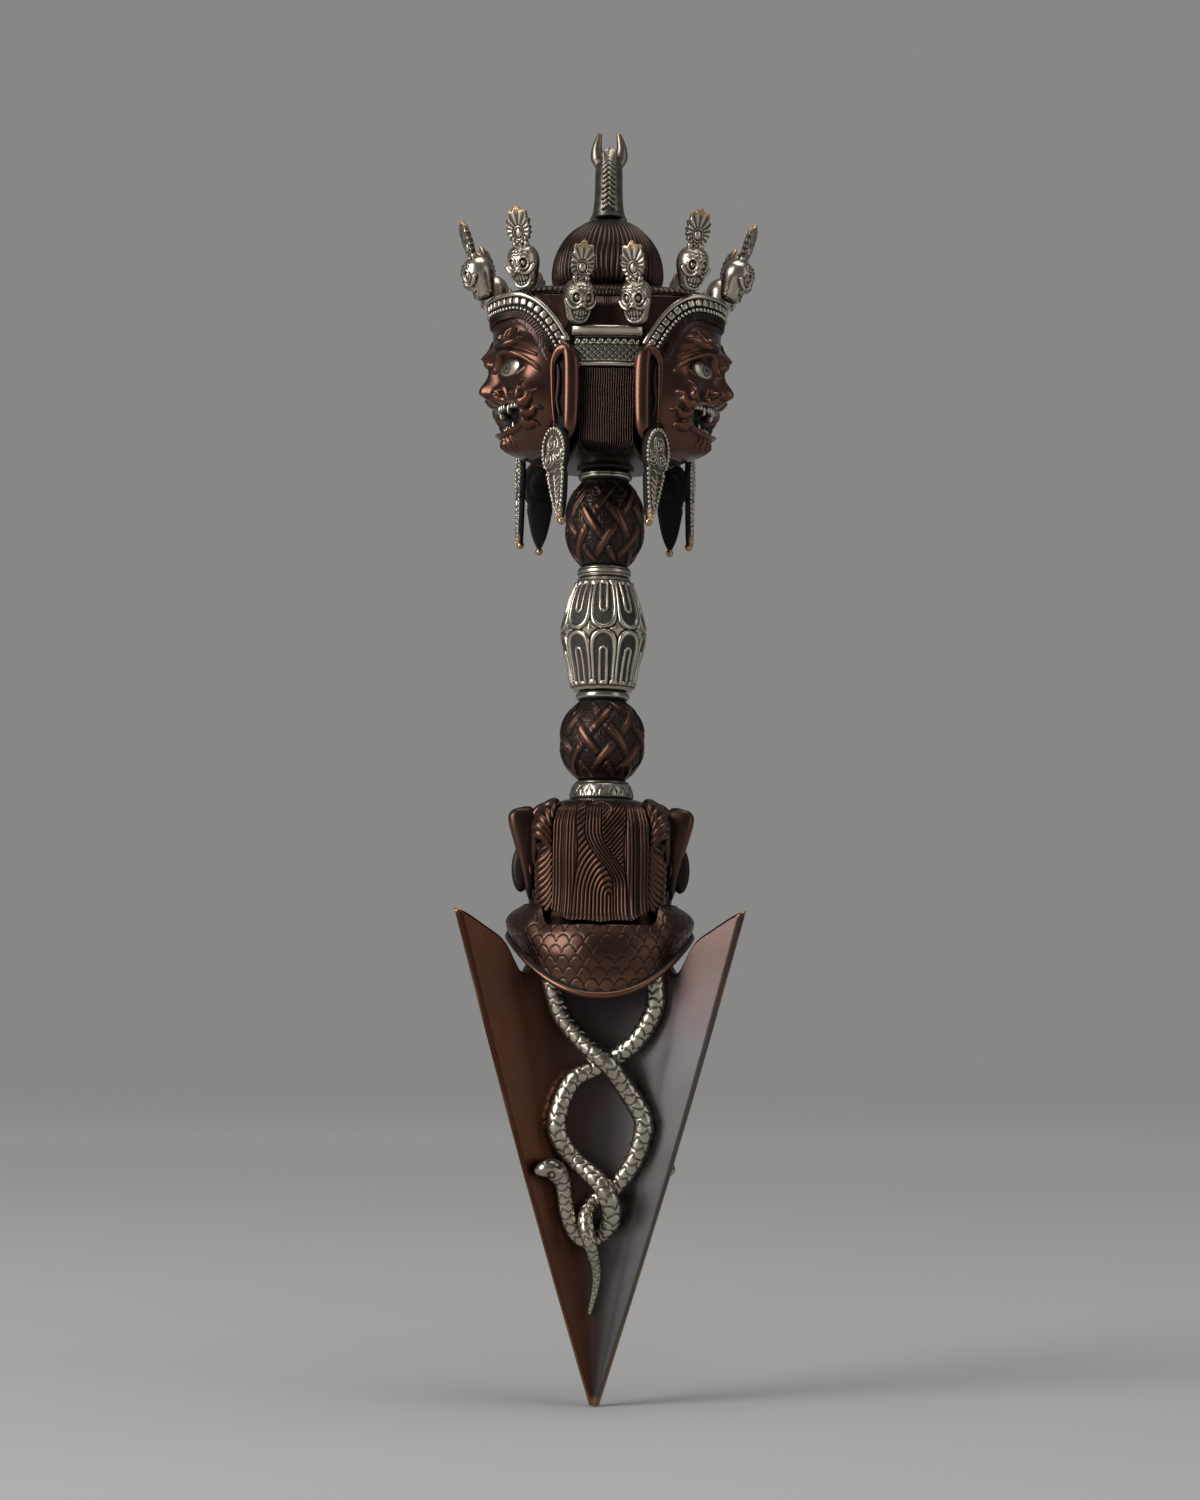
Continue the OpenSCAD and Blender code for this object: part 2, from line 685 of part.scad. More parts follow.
module head_core() {
    floor_r = ring_d / 2 + 0.4;
    color(hair_brown) difference() {
        intersection() {
            translate([0, 0, head_z]) linear_extrude(height = hairline_z - head_z) core_outline();
            translate([0, 0, head_z]) rotate_extrude() polygon(concat(
                [[0, 0], [floor_r, 0]],
                [for (i = [0:6]) [mix(floor_r, dish_r, sin(i * 15)), dish_z + dish_rise * (1 - cos(i * 15))]],
                [[dish_r + 4, dish_z + 2 * dish_rise], [dish_r + 4, face_height + chin_rise],
                 [0, face_height + chin_rise]]
            ));
        }
        rod_bore(head_z, head_z + rod_end + seat_gap);
    }
}

// Combed hair under a band that crosses the nape
strand_count = 14;
strand_floor = 1.2;
strand_crest = 1.7;
nape_band_h = 10.3 * face_k;
nape_band_z = chin_z + 21.1 * face_k;
nape_band_half = 7.2;
ledge_half = 9.6;
ledge_h = 2.4;
ledge_out = 4.6;

module hair_panel() {
    low = chin_z + 1;
    high = nape_band_z - seat_gap;
    w = 2 * panel_half / strand_count;
    color(hair_brown) translate([0, -nape_y - seat_gap, 0]) difference() {
        translate([0, 0, low]) linear_extrude(height = high - low) polygon(concat(
            [[panel_half, 0]],
            [[-panel_half, 0]],
            [for (i = [0:strand_count - 1]) each [
                [-panel_half + (i + 0.08) * w, -strand_floor],
                [-panel_half + (i + 0.5) * w, -strand_crest],
                [-panel_half + (i + 0.92) * w, -strand_floor]
            ]]
        ));
        for (side = [-1, 1])
            translate([side * panel_half, -3, low]) rotate([0, 45, 0]) cube([4.4, 8, 4.4], center = true);
    }
}

module nape_band() {
    y = -nape_y - seat_gap;
    color(silver) {
        translate([-nape_band_half, y - 1.9, nape_band_z]) cube([2 * nape_band_half, 1.9, nape_band_h]);
        translate([-nape_band_half, y - 2.5, nape_band_z]) cube([2 * nape_band_half, 2.5, 1.1]);
        translate([-nape_band_half, y - 3.1, nape_band_z + nape_band_h - ledge_h])
            cube([2 * nape_band_half, 3.1, ledge_h]);
        translate([-ledge_half, y - ledge_out, nape_band_z + nape_band_h - ledge_h])
            cube([2 * ledge_half, ledge_out - 1.3, ledge_h]);
    }
}

// Crown band of a head, an arch from ear to ear over the forehead
band_turn = 78;
band_stations = 24;
band_z = 37.8;
band_drop = 12;

function band_height(a) = band_z - band_drop * pow(clamp01((abs(a) - 30) / 48), 2.4);

function on_head(a, z, out) =
    let (r = head_r(a, min(1, z / 40)) + seat_gap + 0.15 + out)
    [r * sin(a), -r * cos(a), chin_z + z * face_k];

function band_section(a) =
    let (
        arc = face_depth * PI / 180,
        rise = band_height(a + 1) - band_height(a),
        across = [-rise, arc] / norm([arc, rise]) * band_width / 2
    )
    [for (p = [[-1, 0], [-1, 0.8], [-0.4, 0.8], [0.45, 1], [0.6, 1.25], [1, 1.5], [1, 0]])
        on_head(a + across[0] * p[0] / arc, band_height(a) + across[1] * p[0], p[1] * band_thickness)];

module crown_band(i) {
    color(silver) rotate([0, 0, head_turns[i]]) translate([0, -head_offset - head_steps[i], 0])
        loft([for (n = [0:band_stations]) band_section(mix(band_turn, -band_turn, n / band_stations))]);
}

// Hair cap over the three heads
function head_edge(a, i) =
    let (
        d = a - head_turns[i],
        mid = head_offset + head_steps[i],
        u = pow(cos(d) / face_depth, 2) + pow(sin(d) / face_half_width, 2),
        v = cos(d) * mid / pow(face_depth, 2),
        w = pow(mid / face_depth, 2) - 1,
        disc = v * v - u * w
    )
    disc < 0 ? 0 : (v + sqrt(disc)) / u;

function cap_r(a) = max(nape_y, head_edge(a, 0), head_edge(a, 1), head_edge(a, 2));

cap_sectors = 60;
cap_steps = [[0, 0], [0.3, 0.03], [0.55, 0.14], [0.75, 0.4], [0.88, 0.68], [0.96, 0.9], [1, 1]];

module hair_cap() {
    color(hair_brown) loft([for (c = cap_steps)
        [for (j = [0:cap_sectors - 1])
            let (a = j * 360 / cap_sectors, z = seat_gap + c[0] * (cap_height - seat_gap))
            polar(a, mix(cap_r(a), bun_d / 2 - 0.4, c[1]), hairline_z + z)]
    ]);
}

module hair_bun() {
    r = bun_d / 2;
    h = bun_height;
    color(hair_brown) translate([0, 0, bun_z]) rotate_extrude() polygon(concat(
        [[0, 0], [r - 1.9, 0], [r - 0.5, 2.2]],
        [for (i = [0:10]) [(r - 4) * cos(i * 9) + 4 * cos(i * 9 * 0.9), 5 + (h - 5) * sin(i * 9)]],
        [[0, h]]
    ));
}

// Horse's head and neck on top, looking ahead

function down_front(tilt) = [0, cos(tilt), -sin(tilt)];
function onward(tilt) = [0, sin(tilt), cos(tilt)];

throat = [0, 4.4, 10.4];
throat_skin = 0.6;
head_tilt = 104;
poll_depth = 3.2;

// Rings of the neck and head: middle, tilt, half width and half depth
function bend_ring(tilt, wide, deep) = [throat - (deep + throat_skin) * down_front(tilt), tilt, wide, deep];
function muzzle_ring(far, wide, deep, drop) =
    [throat - (poll_depth + throat_skin - drop) * down_front(head_tilt) + far * onward(head_tilt),
     head_tilt, wide, deep];

horse_rings = concat(
    [[[0, 0, 0], 0, 4.9, 4.9], [[0, -0.2, 1.6], 0, 4.2, 4.4], [[0, -0.5, 5.4], 0, 3.8, 4.3]],
    [bend_ring(6, 3.6, 4.2), bend_ring(30, 3.4, 3.9), bend_ring(56, 3.3, 3.6), bend_ring(82, 3.2, 3.4),
     bend_ring(head_tilt, 3, poll_depth)],
    [muzzle_ring(2.6, 2.6, 2.6, 0.4), muzzle_ring(5.4, 2, 2, 0.7), muzzle_ring(7.8, 2.1, 1.9, 0.9),
     muzzle_ring(9, 1.4, 1.2, 0.9)]
);
horse_sides = 14;
ear_cone_h = 7.8;

module horse_head() {
    k = horse_height / 22.6;
    color(silver) translate([0, 0, horse_z + seat_gap]) {
        loft([for (r = horse_rings) [for (n = [0:horse_sides - 1])
            let (turn = n * 360 / horse_sides)
            k * (r[0] + [r[2] * cos(turn), 0, 0] + r[3] * sin(turn) * down_front(r[1]))]]);
        for (side = [-1, 1])
            translate([side * 2 * k, 0.6 * k, 14 * k]) rotate([0, side * 14, 0])
                cylinder(r1 = 1.8 * k, r2 = 0.6 * k, h = ear_cone_h * k, $fn = 24);
    }
}

// Skulls round the crown, each with a leaf on top

// Each crown has five, and the front pairs of neighbouring heads share one
skull_turns = [-90, -51, 0, 51, 90];
skull_lean = 19;
skull_h = 12.2;
skull_foot = 3.7;

function skull_z(a) =
    chin_z + band_height(a) * face_k + skull_foot
    + 2.65 * bell(abs(a) - 90, 20) + 1.2 * bell(abs(a) - 51, 15);

module skull_leaf() {
    lobes = 9;
    steps = 54;
    translate([0, 0.8, skull_h - 0.8]) rotate([90, 0, 0]) {
        linear_extrude(height = 1.6) polygon([for (i = [0:steps])
            let (t = i / steps, s = 180 * t, body = sin(s) * (1 + 0.1 * sin(lobes * 2 * s - 90)))
            [leaf_height * 0.5 * body * cos(s) / max(0.35, pow(sin(s), 0.5)),
             leaf_height * pow(sin(s), 0.9) * (0.25 + 0.75 * pow(sin(s), 3))]]);
        cylinder(d = 2.4, h = 2.2);
    }
}

module skull_head() {
    w = skull_w / 2;
    difference() {
        rotate_extrude() polygon([
            [0, 0], [w * 0.4, 0], [w * 0.62, 0.6], [w * 0.74, 2], [w * 0.8, 3.6], [w * 0.92, 5.2],
            [w, 7.2], [w * 0.98, 8.6], [w * 0.86, 10.2], [w * 0.6, 11.4], [w * 0.3, 12], [0, skull_h]
        ]);
        for (side = [-1, 1]) translate([side * 1.65, -w * 0.98, 7.4]) sphere(r = 1.15);
        translate([0, -w * 0.95, 5.4]) sphere(r = 0.75);
        for (side = [-1, 1]) translate([side * w * 0.5, -w * 0.9, 4.3]) sphere(r = 0.55);
        translate([-1.7, -w - 1, 2.9]) cube([3.4, 1.9, 0.35]);
    }
}

// The shared pair stands on small plates in the front gaps
shared_out = 28.4;
plate_h = 2.3;

function gap_turn() = (side_head_turn + 180) / 2;
function plate_top() = skull_z(90) - 3.5 * seat_gap;

module temple_plates() {
    inner = 22.5;
    color(silver) for (side = [-1, 1]) rotate([0, 0, side * gap_turn()]) {
        translate([-0.6, -shared_out, plate_top() - plate_h]) cube([1.2, shared_out - inner, plate_h]);
        translate([0, -shared_out, plate_top() - plate_h]) cylinder(r = 2.6, h = plate_h);
    }
}

module shared_skull(side) {
    color(silver) rotate([0, 0, side * gap_turn()]) translate([0, -shared_out, skull_z(90)])
        rotate([skull_lean, 0, 0]) {
            skull_head();
            skull_leaf();
        }
}

module skull(i, a) {
    color(silver) rotate([0, 0, head_turns[i]]) translate([0, -head_offset - head_steps[i], 0])
        rotate([0, 0, a]) translate([0, -skull_out, skull_z(a)]) rotate([skull_lean, 0, 0]) {
            skull_head();
            skull_leaf();
        }
}

// Earrings, one at each ear
earring_top = 5.2;
// The pair at the back hangs askew
back_splay = 22;
back_swing = 8;
front_splay = 7;

module earring_outline(w, h) {
    polygon(concat(
        [for (i = [0:24]) let (s = 180 * i / 24)
            [w / 2 * cos(s), h * 0.27 * sin(s)]],
        [for (i = [0:16]) let (t = i / 16)
            [-w / 2 * (1 - 0.25 * sin(180 * t)) * (1 - pow(t, 2.4)), -h * 0.73 * t]],
        [for (i = [15:-1:1]) let (t = i / 16)
            [w / 2 * (1 - 0.25 * sin(180 * t)) * (1 - pow(t, 2.4)), -h * 0.73 * t]]
    ));
}

// A stud on the back of each earring reaches to its ear
hook_back = 3;
hook_front = 3.7;

module earring(i, side) {
    at_back = ear_rises[i][side > 0 ? 1 : 0] == ear_back;
    hook = at_back ? hook_back : hook_front;
    splay = at_back ? back_splay : front_splay;
    swing = at_back ? back_swing : 0;
    color(silver) rotate([0, 0, head_turns[i]])
        translate([side * (face_half_width + 1.8), -head_offset - head_steps[i] - 4.7, chin_z + earring_top])
            rotate([0, 0, side * splay]) rotate([0, side * -swing, 0])
                translate([0, 0, -earring_length * 0.27]) rotate([90, 0, 0]) {
                    linear_extrude(height = earring_plate) earring_outline(earring_width, earring_length);
                    translate([0, earring_length * 0.27 - 1.4, -hook]) cylinder(d = 1.6, h = hook + 0.5);
                    translate([0, -1, 0]) cylinder(d = 4.4, h = earring_plate + 0.8);
                    translate([0, -earring_length * 0.4, 0]) cylinder(d = 3, h = earring_plate + 0.6);
                    translate([0, -earring_length * 0.73, earring_plate / 2]) sphere(d = 2.2);
                }
}

head_names = ["left", "right", "main"];
side_names = ["near", "far"];
flute_names = ["back", "right", "left"];

blade();
tang_rod();
makara_head();
makara_jaw();
makara_mane();
makara_trunk();
makara_ears();
makara_eyes();
makara_fangs();
grip_collar();
lower_knot();
ring(lower_ring_z, lower_ring_height);  // lower_ring
baluster();
ring(upper_ring_z, upper_ring_height);  // upper_ring
upper_knot();
ring(neck_ring_z, neck_ring_height);  // neck_ring
head_core();
hair_panel();
nape_band();
hair_cap();
hair_bun();
horse_head();
temple_plates();
for (i = [0:2]) {
    tail_snake(i);
    head_snake(i);
    face(i);
    face_eyes(i);
    face_teeth(i);
    crown_band(i);
    earring(i, -1);
    earring(i, 1);
    skull(2, skull_turns[i + 1]);
}
for (i = [0:3]) {
    skull(0, skull_turns[i + 1]);
    skull(1, skull_turns[i]);
}
shared_skull(-1);  // skull_shared_left
shared_skull(1);  // skull_shared_right
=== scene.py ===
"""Looks of a phurba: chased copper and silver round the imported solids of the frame.

Shapes are worked out in millimetres, in the frame's own directions: Z up the axis from the
blade's point, -Y the back that the camera sees, angles counted from the back towards +X.
"""
import math

import bpy
import numpy as np
from mathutils import Matrix, Vector


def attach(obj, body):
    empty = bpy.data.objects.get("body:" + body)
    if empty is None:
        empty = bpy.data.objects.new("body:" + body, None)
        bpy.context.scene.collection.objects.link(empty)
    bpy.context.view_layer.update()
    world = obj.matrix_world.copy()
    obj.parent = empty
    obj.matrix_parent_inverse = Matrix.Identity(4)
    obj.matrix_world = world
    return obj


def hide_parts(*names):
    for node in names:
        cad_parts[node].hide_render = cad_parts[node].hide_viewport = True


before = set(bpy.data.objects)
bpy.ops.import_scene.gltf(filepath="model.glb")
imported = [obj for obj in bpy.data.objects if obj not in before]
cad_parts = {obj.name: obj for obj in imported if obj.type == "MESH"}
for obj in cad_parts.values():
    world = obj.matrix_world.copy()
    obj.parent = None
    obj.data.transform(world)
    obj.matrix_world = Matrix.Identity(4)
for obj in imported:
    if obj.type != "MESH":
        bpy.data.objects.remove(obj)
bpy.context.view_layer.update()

MM = 0.001


# Curves and bumps that the shapes are made of

def mix(a, b, t):
    return a + (b - a) * t


def bell(d, w):
    return np.exp(-(d / w) ** 2)


def skew_bell(d, above, below):
    return np.where(np.asarray(d) > 0, bell(d, above), bell(d, below))


def ease(t):
    t = np.clip(t, 0, 1)
    return t * t * (3 - 2 * t)


def dome(q):
    """Height of a round hill: 1 in its middle, 0 where q is 1 and beyond."""
    return np.sqrt(np.clip(1 - q * q, 0, 1))


def rising(low, high, count):
    """Even values, one for each row of a grid."""
    return np.linspace(low, high, count)[:, None]


def sweep(low, high, count):
    """Even values, one for each column of a grid."""
    return np.linspace(low, high, count)[None, :]


def full_turn(count):
    """Degrees once round the axis, one for each column of a grid."""
    return np.linspace(-180, 180, count, endpoint=False)[None, :]


def circle(count):
    return np.arange(count) * math.tau / count


def cos_sin(degrees):
    return math.cos(math.radians(degrees)), math.sin(math.radians(degrees))


def along(table, t):
    """Smooth value at t through [t, value] pairs in rising order."""
    x, y = np.array(table, float).T
    slope = np.gradient(y, x)
    t = np.clip(t, x[0], x[-1])
    i = np.clip(np.searchsorted(x, t, side="right") - 1, 0, len(x) - 2)
    w = x[i + 1] - x[i]
    f = (t - x[i]) / w
    return ((1 + 2 * f) * (1 - f) ** 2 * y[i] + f * (1 - f) ** 2 * w * slope[i]
            + f * f * (3 - 2 * f) * y[i + 1] - f * f * (1 - f) * w * slope[i + 1])


def polar(a, r, z):
    """Points at the angles a (degrees from the back), radii r and heights z."""
    a, r, z = np.broadcast_arrays(np.radians(a), r, z)
    return np.stack([r * np.sin(a), -r * np.cos(a), z], -1)


def turned(points, degrees):
    """Turned about the axis, from the back towards +X."""
    c, s = cos_sin(degrees)
    return np.asarray(points, float) @ np.array([[c, s, 0], [-s, c, 0], [0, 0, 1]])


def tipped(points, degrees):
    """Turned about X, the top towards -Y for a positive angle."""
    c, s = cos_sin(degrees)
    return np.asarray(points, float) @ np.array([[1, 0, 0], [0, c, s], [0, -s, c]])


def smooth_path(points, steps):
    """Catmull-Rom curve through the points."""
    p = np.asarray(points, float)
    p = np.vstack([p[:1], p, p[-1:]])
    t = np.arange(steps)[:, None] / steps
    runs = [0.5 * (2 * b + (c - a) * t + (2 * a - 5 * b + 4 * c - d) * t ** 2
                   + (3 * b - a - 3 * c + d) * t ** 3)
            for a, b, c, d in zip(p, p[1:], p[2:], p[3:])]
    return np.vstack(runs + [p[-1:]])


def lengths_along(path):
    return np.concatenate([[0], np.cumsum(np.linalg.norm(np.diff(path, axis=0), axis=1))])


def ripple(x, y, z, scale):
    """Slow unevenness of hand work, between -1 and 1."""
    return (np.sin(x / scale + 1.3 * np.sin(y / scale * 1.7)) * np.sin(y / scale * 1.1 + 2)
            + np.sin(z / scale * 1.3 + np.sin(x / scale * 0.9 + 1))) / 2


# Patterns: each gives a height from 0 in the cut to 1 on the crest

def groove(d, w, depth=1):
    """A cut line where d is 0."""
    return 1 - depth * bell(d, w)


def strands(x, sharp=0.6):
    """Combed strands, one for each unit of x."""
    return np.abs(np.cos(np.pi * x)) ** sharp


def scales(u, v, wide=0.56, tall=1.25, cut=0.07, rise=0.25):
    """Fish scales whose free edges point to +v, one row for each unit of v."""
    u, v = np.broadcast_arrays(u, v)
    height = np.full(u.shape, 1 - rise)
    free = np.ones(u.shape, bool)
    gap = np.full(u.shape, 9.0)
    for back in (1, 0, -1):
        row = np.floor(v) - back
        shift = (row % 2) * 0.5
        q = np.hypot((u - shift - np.round(u - shift)) / wide, (v - row) / tall)
        on = free & (q < 1) & (v >= row)
        height = np.where(on, 1 - rise + rise * q ** 2, height)
        gap = np.where(free & ~on, np.minimum(gap, np.abs(q - 1)), gap)
        gap = np.where(on, np.minimum(gap, 1 - q + cut), gap)
        free &= ~on
    return height * groove(gap, cut)


# Meshes

def orient(mesh):
    """Turns a closed mesh's faces outwards."""
    co = np.empty(len(mesh.vertices) * 3)
    mesh.vertices.foreach_get("co", co)
    co = co.reshape(-1, 3)
    mesh.calc_loop_triangles()
    tri = np.empty(len(mesh.loop_triangles) * 3, np.int32)
    mesh.loop_triangles.foreach_get("vertices", tri)
    a, b, c = co[tri.reshape(-1, 3)].transpose(1, 0, 2)
    if np.einsum("ij,ij->", a, np.cross(b, c)) < 0:
        mesh.flip_normals()


def place_in_scene(name, data):
    made = bpy.data.objects.new(name, data)
    bpy.context.scene.collection.objects.link(made)
    return made


def piece(name, points, faces, finish, takes=(), slot=None, **marks):
    """One finished piece from points in millimetres. marks are values at its points."""
    mesh = bpy.data.meshes.new(name)
    points = np.asarray(points, float).reshape(-1, 3)
    mesh.from_pydata((points * MM).tolist(), [], faces)
    orient(mesh)
    for key, values in marks.items():
        layer = mesh.attributes.new(key, "FLOAT", "POINT")
        layer.data.foreach_set("value", np.ravel(values).astype(np.float32))
    mesh.polygons.foreach_set("use_smooth", [True] * len(mesh.polygons))
    mesh.materials.append(finish)
    ride(place_in_scene(name, mesh), slot or SLOT_OF[finish], takes)


def ride(made, slot, takes=()):
    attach(made, "root")
    if takes:
        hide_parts(*takes)


class Skin:
    """Points, faces and marks of one or more closed shells that make one piece."""

    def __init__(self):
        self.points, self.faces, self.marks, self.count = [], [], {}, 0

    def add(self, points, faces, **marks):
        points = np.asarray(points, float).reshape(-1, 3)
        self.points.append(points)
        self.faces += [[i + self.count for i in face] for face in faces]
        for key, values in {"relief": 0.8, "wear": 0.0, "haze": 0.0, **marks}.items():
            self.marks.setdefault(key, []).append(np.broadcast_to(np.ravel(values), len(points)))
        self.count += len(points)
        return self

    def rings(self, grid, **marks):
        """A closed shell through rings of points, rows of a grid."""
        rows, count = grid.shape[:2]
        faces = ring_faces(rows, count)
        ends = [grid[0].mean(0), grid[-1].mean(0)]
        marks = {key: np.concatenate([np.ravel(np.broadcast_to(m, (rows, count))),
                                      [np.mean(np.broadcast_to(m, (rows, count))[0]),
                                       np.mean(np.broadcast_to(m, (rows, count))[-1])]])
                 for key, m in marks.items()}
        return self.add(np.vstack([grid.reshape(-1, 3), ends]), faces, **marks)

    def moved(self, move):
        """A copy with every point moved by a function."""
        copy = Skin()
        copy.points = [move(p) for p in self.points]
        copy.faces, copy.marks, copy.count = self.faces, self.marks, self.count
        return copy

    def piece(self, name, finish, takes=(), slot=None):
        marks = {key: np.concatenate(parts) for key, parts in self.marks.items()}
        piece(name, np.vstack(self.points), self.faces, finish, takes, slot, **marks)


def ring_faces(rows, count):
    start = np.arange(rows - 1)[:, None] * count
    here = np.arange(count)[None, :]
    after = (here + 1) % count
    quads = np.stack([start + here, start + after, start + after + count, start + here + count], -1)
    low, high, last = rows * count, rows * count + 1, (rows - 1) * count
    ends = [[low, (i + 1) % count, i] for i in range(count)]
    ends += [[high, last + i, last + (i + 1) % count] for i in range(count)]
    return quads.reshape(-1, 4).tolist() + ends


def tube_grid(path, radii, sides, up_dir, shape=None):
    """Rings round a path. shape turns angle and place into a share of the radius."""
    path = np.asarray(path, float)
    ahead = np.gradient(path, axis=0)
    ahead /= np.linalg.norm(ahead, axis=1)[:, None]
    side = np.cross(ahead, np.broadcast_to(up_dir, ahead.shape))
    side /= np.linalg.norm(side, axis=1)[:, None]
    up = np.cross(side, ahead)
    angle = circle(sides)
    r = np.broadcast_to(np.asarray(radii, float).reshape(len(path), -1), (len(path), sides))
    if shape is not None:
        r = r * shape
    return (path[:, None] + r[..., None] * (np.cos(angle)[None, :, None] * side[:, None]
                                            + np.sin(angle)[None, :, None] * up[:, None]))


# Node trees

class Value:
    """A socket that takes part in sums."""

    def __init__(self, tree, socket):
        self.tree, self.socket = tree, socket

    def sum(self, operation, first, second, clamp=False):
        return self.tree.node("ShaderNodeMath", {"operation": operation, "use_clamp": clamp},
                              {0: first, 1: second})

    def __add__(self, other):
        return self.sum("ADD", self, other)

    def __radd__(self, other):
        return self.sum("ADD", other, self)

    def __sub__(self, other):
        return self.sum("SUBTRACT", self, other)

    def __rsub__(self, other):
        return self.sum("SUBTRACT", other, self)

    def __mul__(self, other):
        return self.sum("MULTIPLY", self, other)

    def __rmul__(self, other):
        return self.sum("MULTIPLY", other, self)

    def between(self, low, high):
        """0 at low and below, 1 at high and above."""
        return self.sum("MULTIPLY", self - low, 1 / (high - low), True)


class Nodes:
    """Adds nodes to a tree: the type, its settings, then values or links of its sockets."""

    def __init__(self, tree):
        self.tree = tree

    def node(self, kind, settings=None, inputs=None, out=0):
        made = self.tree.nodes.new(kind)
        for key, value in (settings or {}).items():
            setattr(made, key, value)
        for key, value in (inputs or {}).items():
            if isinstance(value, Value):
                self.tree.links.new(value.socket, made.inputs[key])
            else:
                made.inputs[key].default_value = value
        return Value(self, made.outputs[out]) if made.outputs else made

    def noise(self, where, scale, detail=3.0, rough=0.55):
        return self.node("ShaderNodeTexNoise", {}, {"Vector": where, "Scale": scale, "Detail": detail,
                                                    "Roughness": rough}, "Fac")

    def mark(self, name):
        """A mark that the piece's points carry."""
        return self.node("ShaderNodeAttribute", {"attribute_name": name}, out="Fac")

    def colours(self, share, low, high):
        """A colour between two, by share."""
        return self.node("ShaderNodeMix", {"data_type": "RGBA"}, {0: share, 6: low, 7: high}, 2)


def fresh_nodes(owner):
    owner.use_nodes = True
    owner.node_tree.nodes.clear()
    return Nodes(owner.node_tree)


def colour(r, g, b):
    return (r, g, b, 1.0)


CLOUD_SCALE, SPECK_SCALE, GRAIN_DEPTH = 70.0, 900.0, 0.0003


def metal(name, crest, body, cut, rough, worn=None, grain=0.25, dirt=0.85, spots=None, coat=0.0,
          haze=None):
    """Chased metal: black in the cuts and wherever its relief mark carries painted shade, bright on the
    crests, worn where its marks say, and overlaid with a second colour by another mark: a real tint on some
    pieces, a painted sheen on others.
    """
    made = bpy.data.materials.new(name)
    n = fresh_nodes(made)
    place = n.node("ShaderNodeTexCoord", out="Object")
    cloud, speck = n.noise(place, CLOUD_SCALE, 4.0), n.noise(place, SPECK_SCALE)
    depth = n.mark("relief")
    shown = (depth + (speck - 0.5) * 0.16 + (cloud - 0.5) * 0.2).between(0.12, 0.6)
    high = (depth + (cloud - 0.5) * 0.5).between(0.55, 1.0)
    tone = n.colours(cloud.between(0.35, 0.7), colour(*body), colour(*(spots or body)))
    tone = n.colours(high, tone, colour(*crest))
    # Second colour by mark: the hair's own brown on the crown bands, a painted grey sheen on the blade's
    # fins.
    if haze:
        tone = n.colours((n.mark("haze") + (cloud - 0.5) * 0.5).between(0.05, 1.0), tone, colour(*haze))
    tone = n.colours(shown, colour(*cut), tone)
    if worn:
        rubbed = (n.mark("wear") + (cloud - 0.5) * 0.6 + (speck - 0.5) * 0.2).between(0.4, 0.9)
        tone = n.colours(rubbed, tone, colour(*worn))
    gloss = rough + (cloud - 0.5) * 0.2 + (1 - shown) * (0.7 - rough)
    height = cloud * 0.15 + speck * 0.3
    bump = n.node("ShaderNodeBump", {}, {"Strength": grain, "Distance": GRAIN_DEPTH, "Height": height})
    surface = n.node("ShaderNodeBsdfPrincipled", {}, {
        "Base Color": tone, "Metallic": shown * dirt + (1 - dirt), "Roughness": gloss, "Normal": bump,
        "Coat Weight": shown * coat, "Coat Roughness": 0.3, "Coat IOR": 1.7, "Specular IOR Level": 0.3})
    n.node("ShaderNodeOutputMaterial", {}, {"Surface": surface})
    return made


BRASS_WEAR = (0.3, 0.165, 0.07)
SILVER_CUT = (0.005, 0.0045, 0.004)
COPPER = metal("red-brown copper", (0.13, 0.0405, 0.0165), (0.07, 0.0212, 0.0098),
               (0.0035, 0.0026, 0.0023), 0.25, worn=(0.27, 0.1, 0.036), grain=0.1,
               spots=(0.045, 0.015, 0.0082), coat=0.4)
DARK_COPPER = metal("dark chased copper", (0.1, 0.045, 0.0265), (0.044, 0.0195, 0.0122),
                    (0.003, 0.0026, 0.0025), 0.34, worn=(0.21, 0.092, 0.045),
                    spots=(0.026, 0.0123, 0.0085), coat=0.2)
# The blade's grey second colour is a painted sheen, which its mark lays on the flanks of the fins.
BLADE_COPPER = metal("satin blade copper", (0.095, 0.031, 0.0125), (0.075, 0.0245, 0.0102),
                     (0.0085, 0.0075, 0.008), 0.3, worn=BRASS_WEAR, grain=0.14,
                     spots=(0.034, 0.0132, 0.0074), coat=0.15, haze=(0.1, 0.09, 0.091))
SILVER = metal("antique silver", (0.56, 0.5, 0.41), (0.24, 0.21, 0.168), SILVER_CUT, 0.26,
               worn=(0.46, 0.31, 0.18), grain=0.1, spots=(0.15, 0.13, 0.102), haze=(0.034, 0.0205, 0.0165))
DULL_SILVER = metal("dull silver", (0.3, 0.265, 0.215), (0.15, 0.131, 0.105), SILVER_CUT, 0.32,
                    worn=(0.34, 0.23, 0.14), grain=0.15, spots=(0.09, 0.077, 0.06))
HAIR = metal("combed dark hair", (0.066, 0.042, 0.0325), (0.026, 0.0168, 0.0134),
             (0.0025, 0.0021, 0.002), 0.34, grain=0.2, dirt=0.7, spots=(0.0185, 0.0118, 0.01))
IRON = metal("rod iron", (0.3, 0.29, 0.28), (0.25, 0.24, 0.23), (0.1, 0.1, 0.1), 0.5)
SLOT_OF = {COPPER: "copper", DARK_COPPER: "copper", BLADE_COPPER: "copper", SILVER: "antique_silver",
           DULL_SILVER: "antique_silver", HAIR: "hair_brown"}


# Repeated pieces, set along lines by geometry nodes

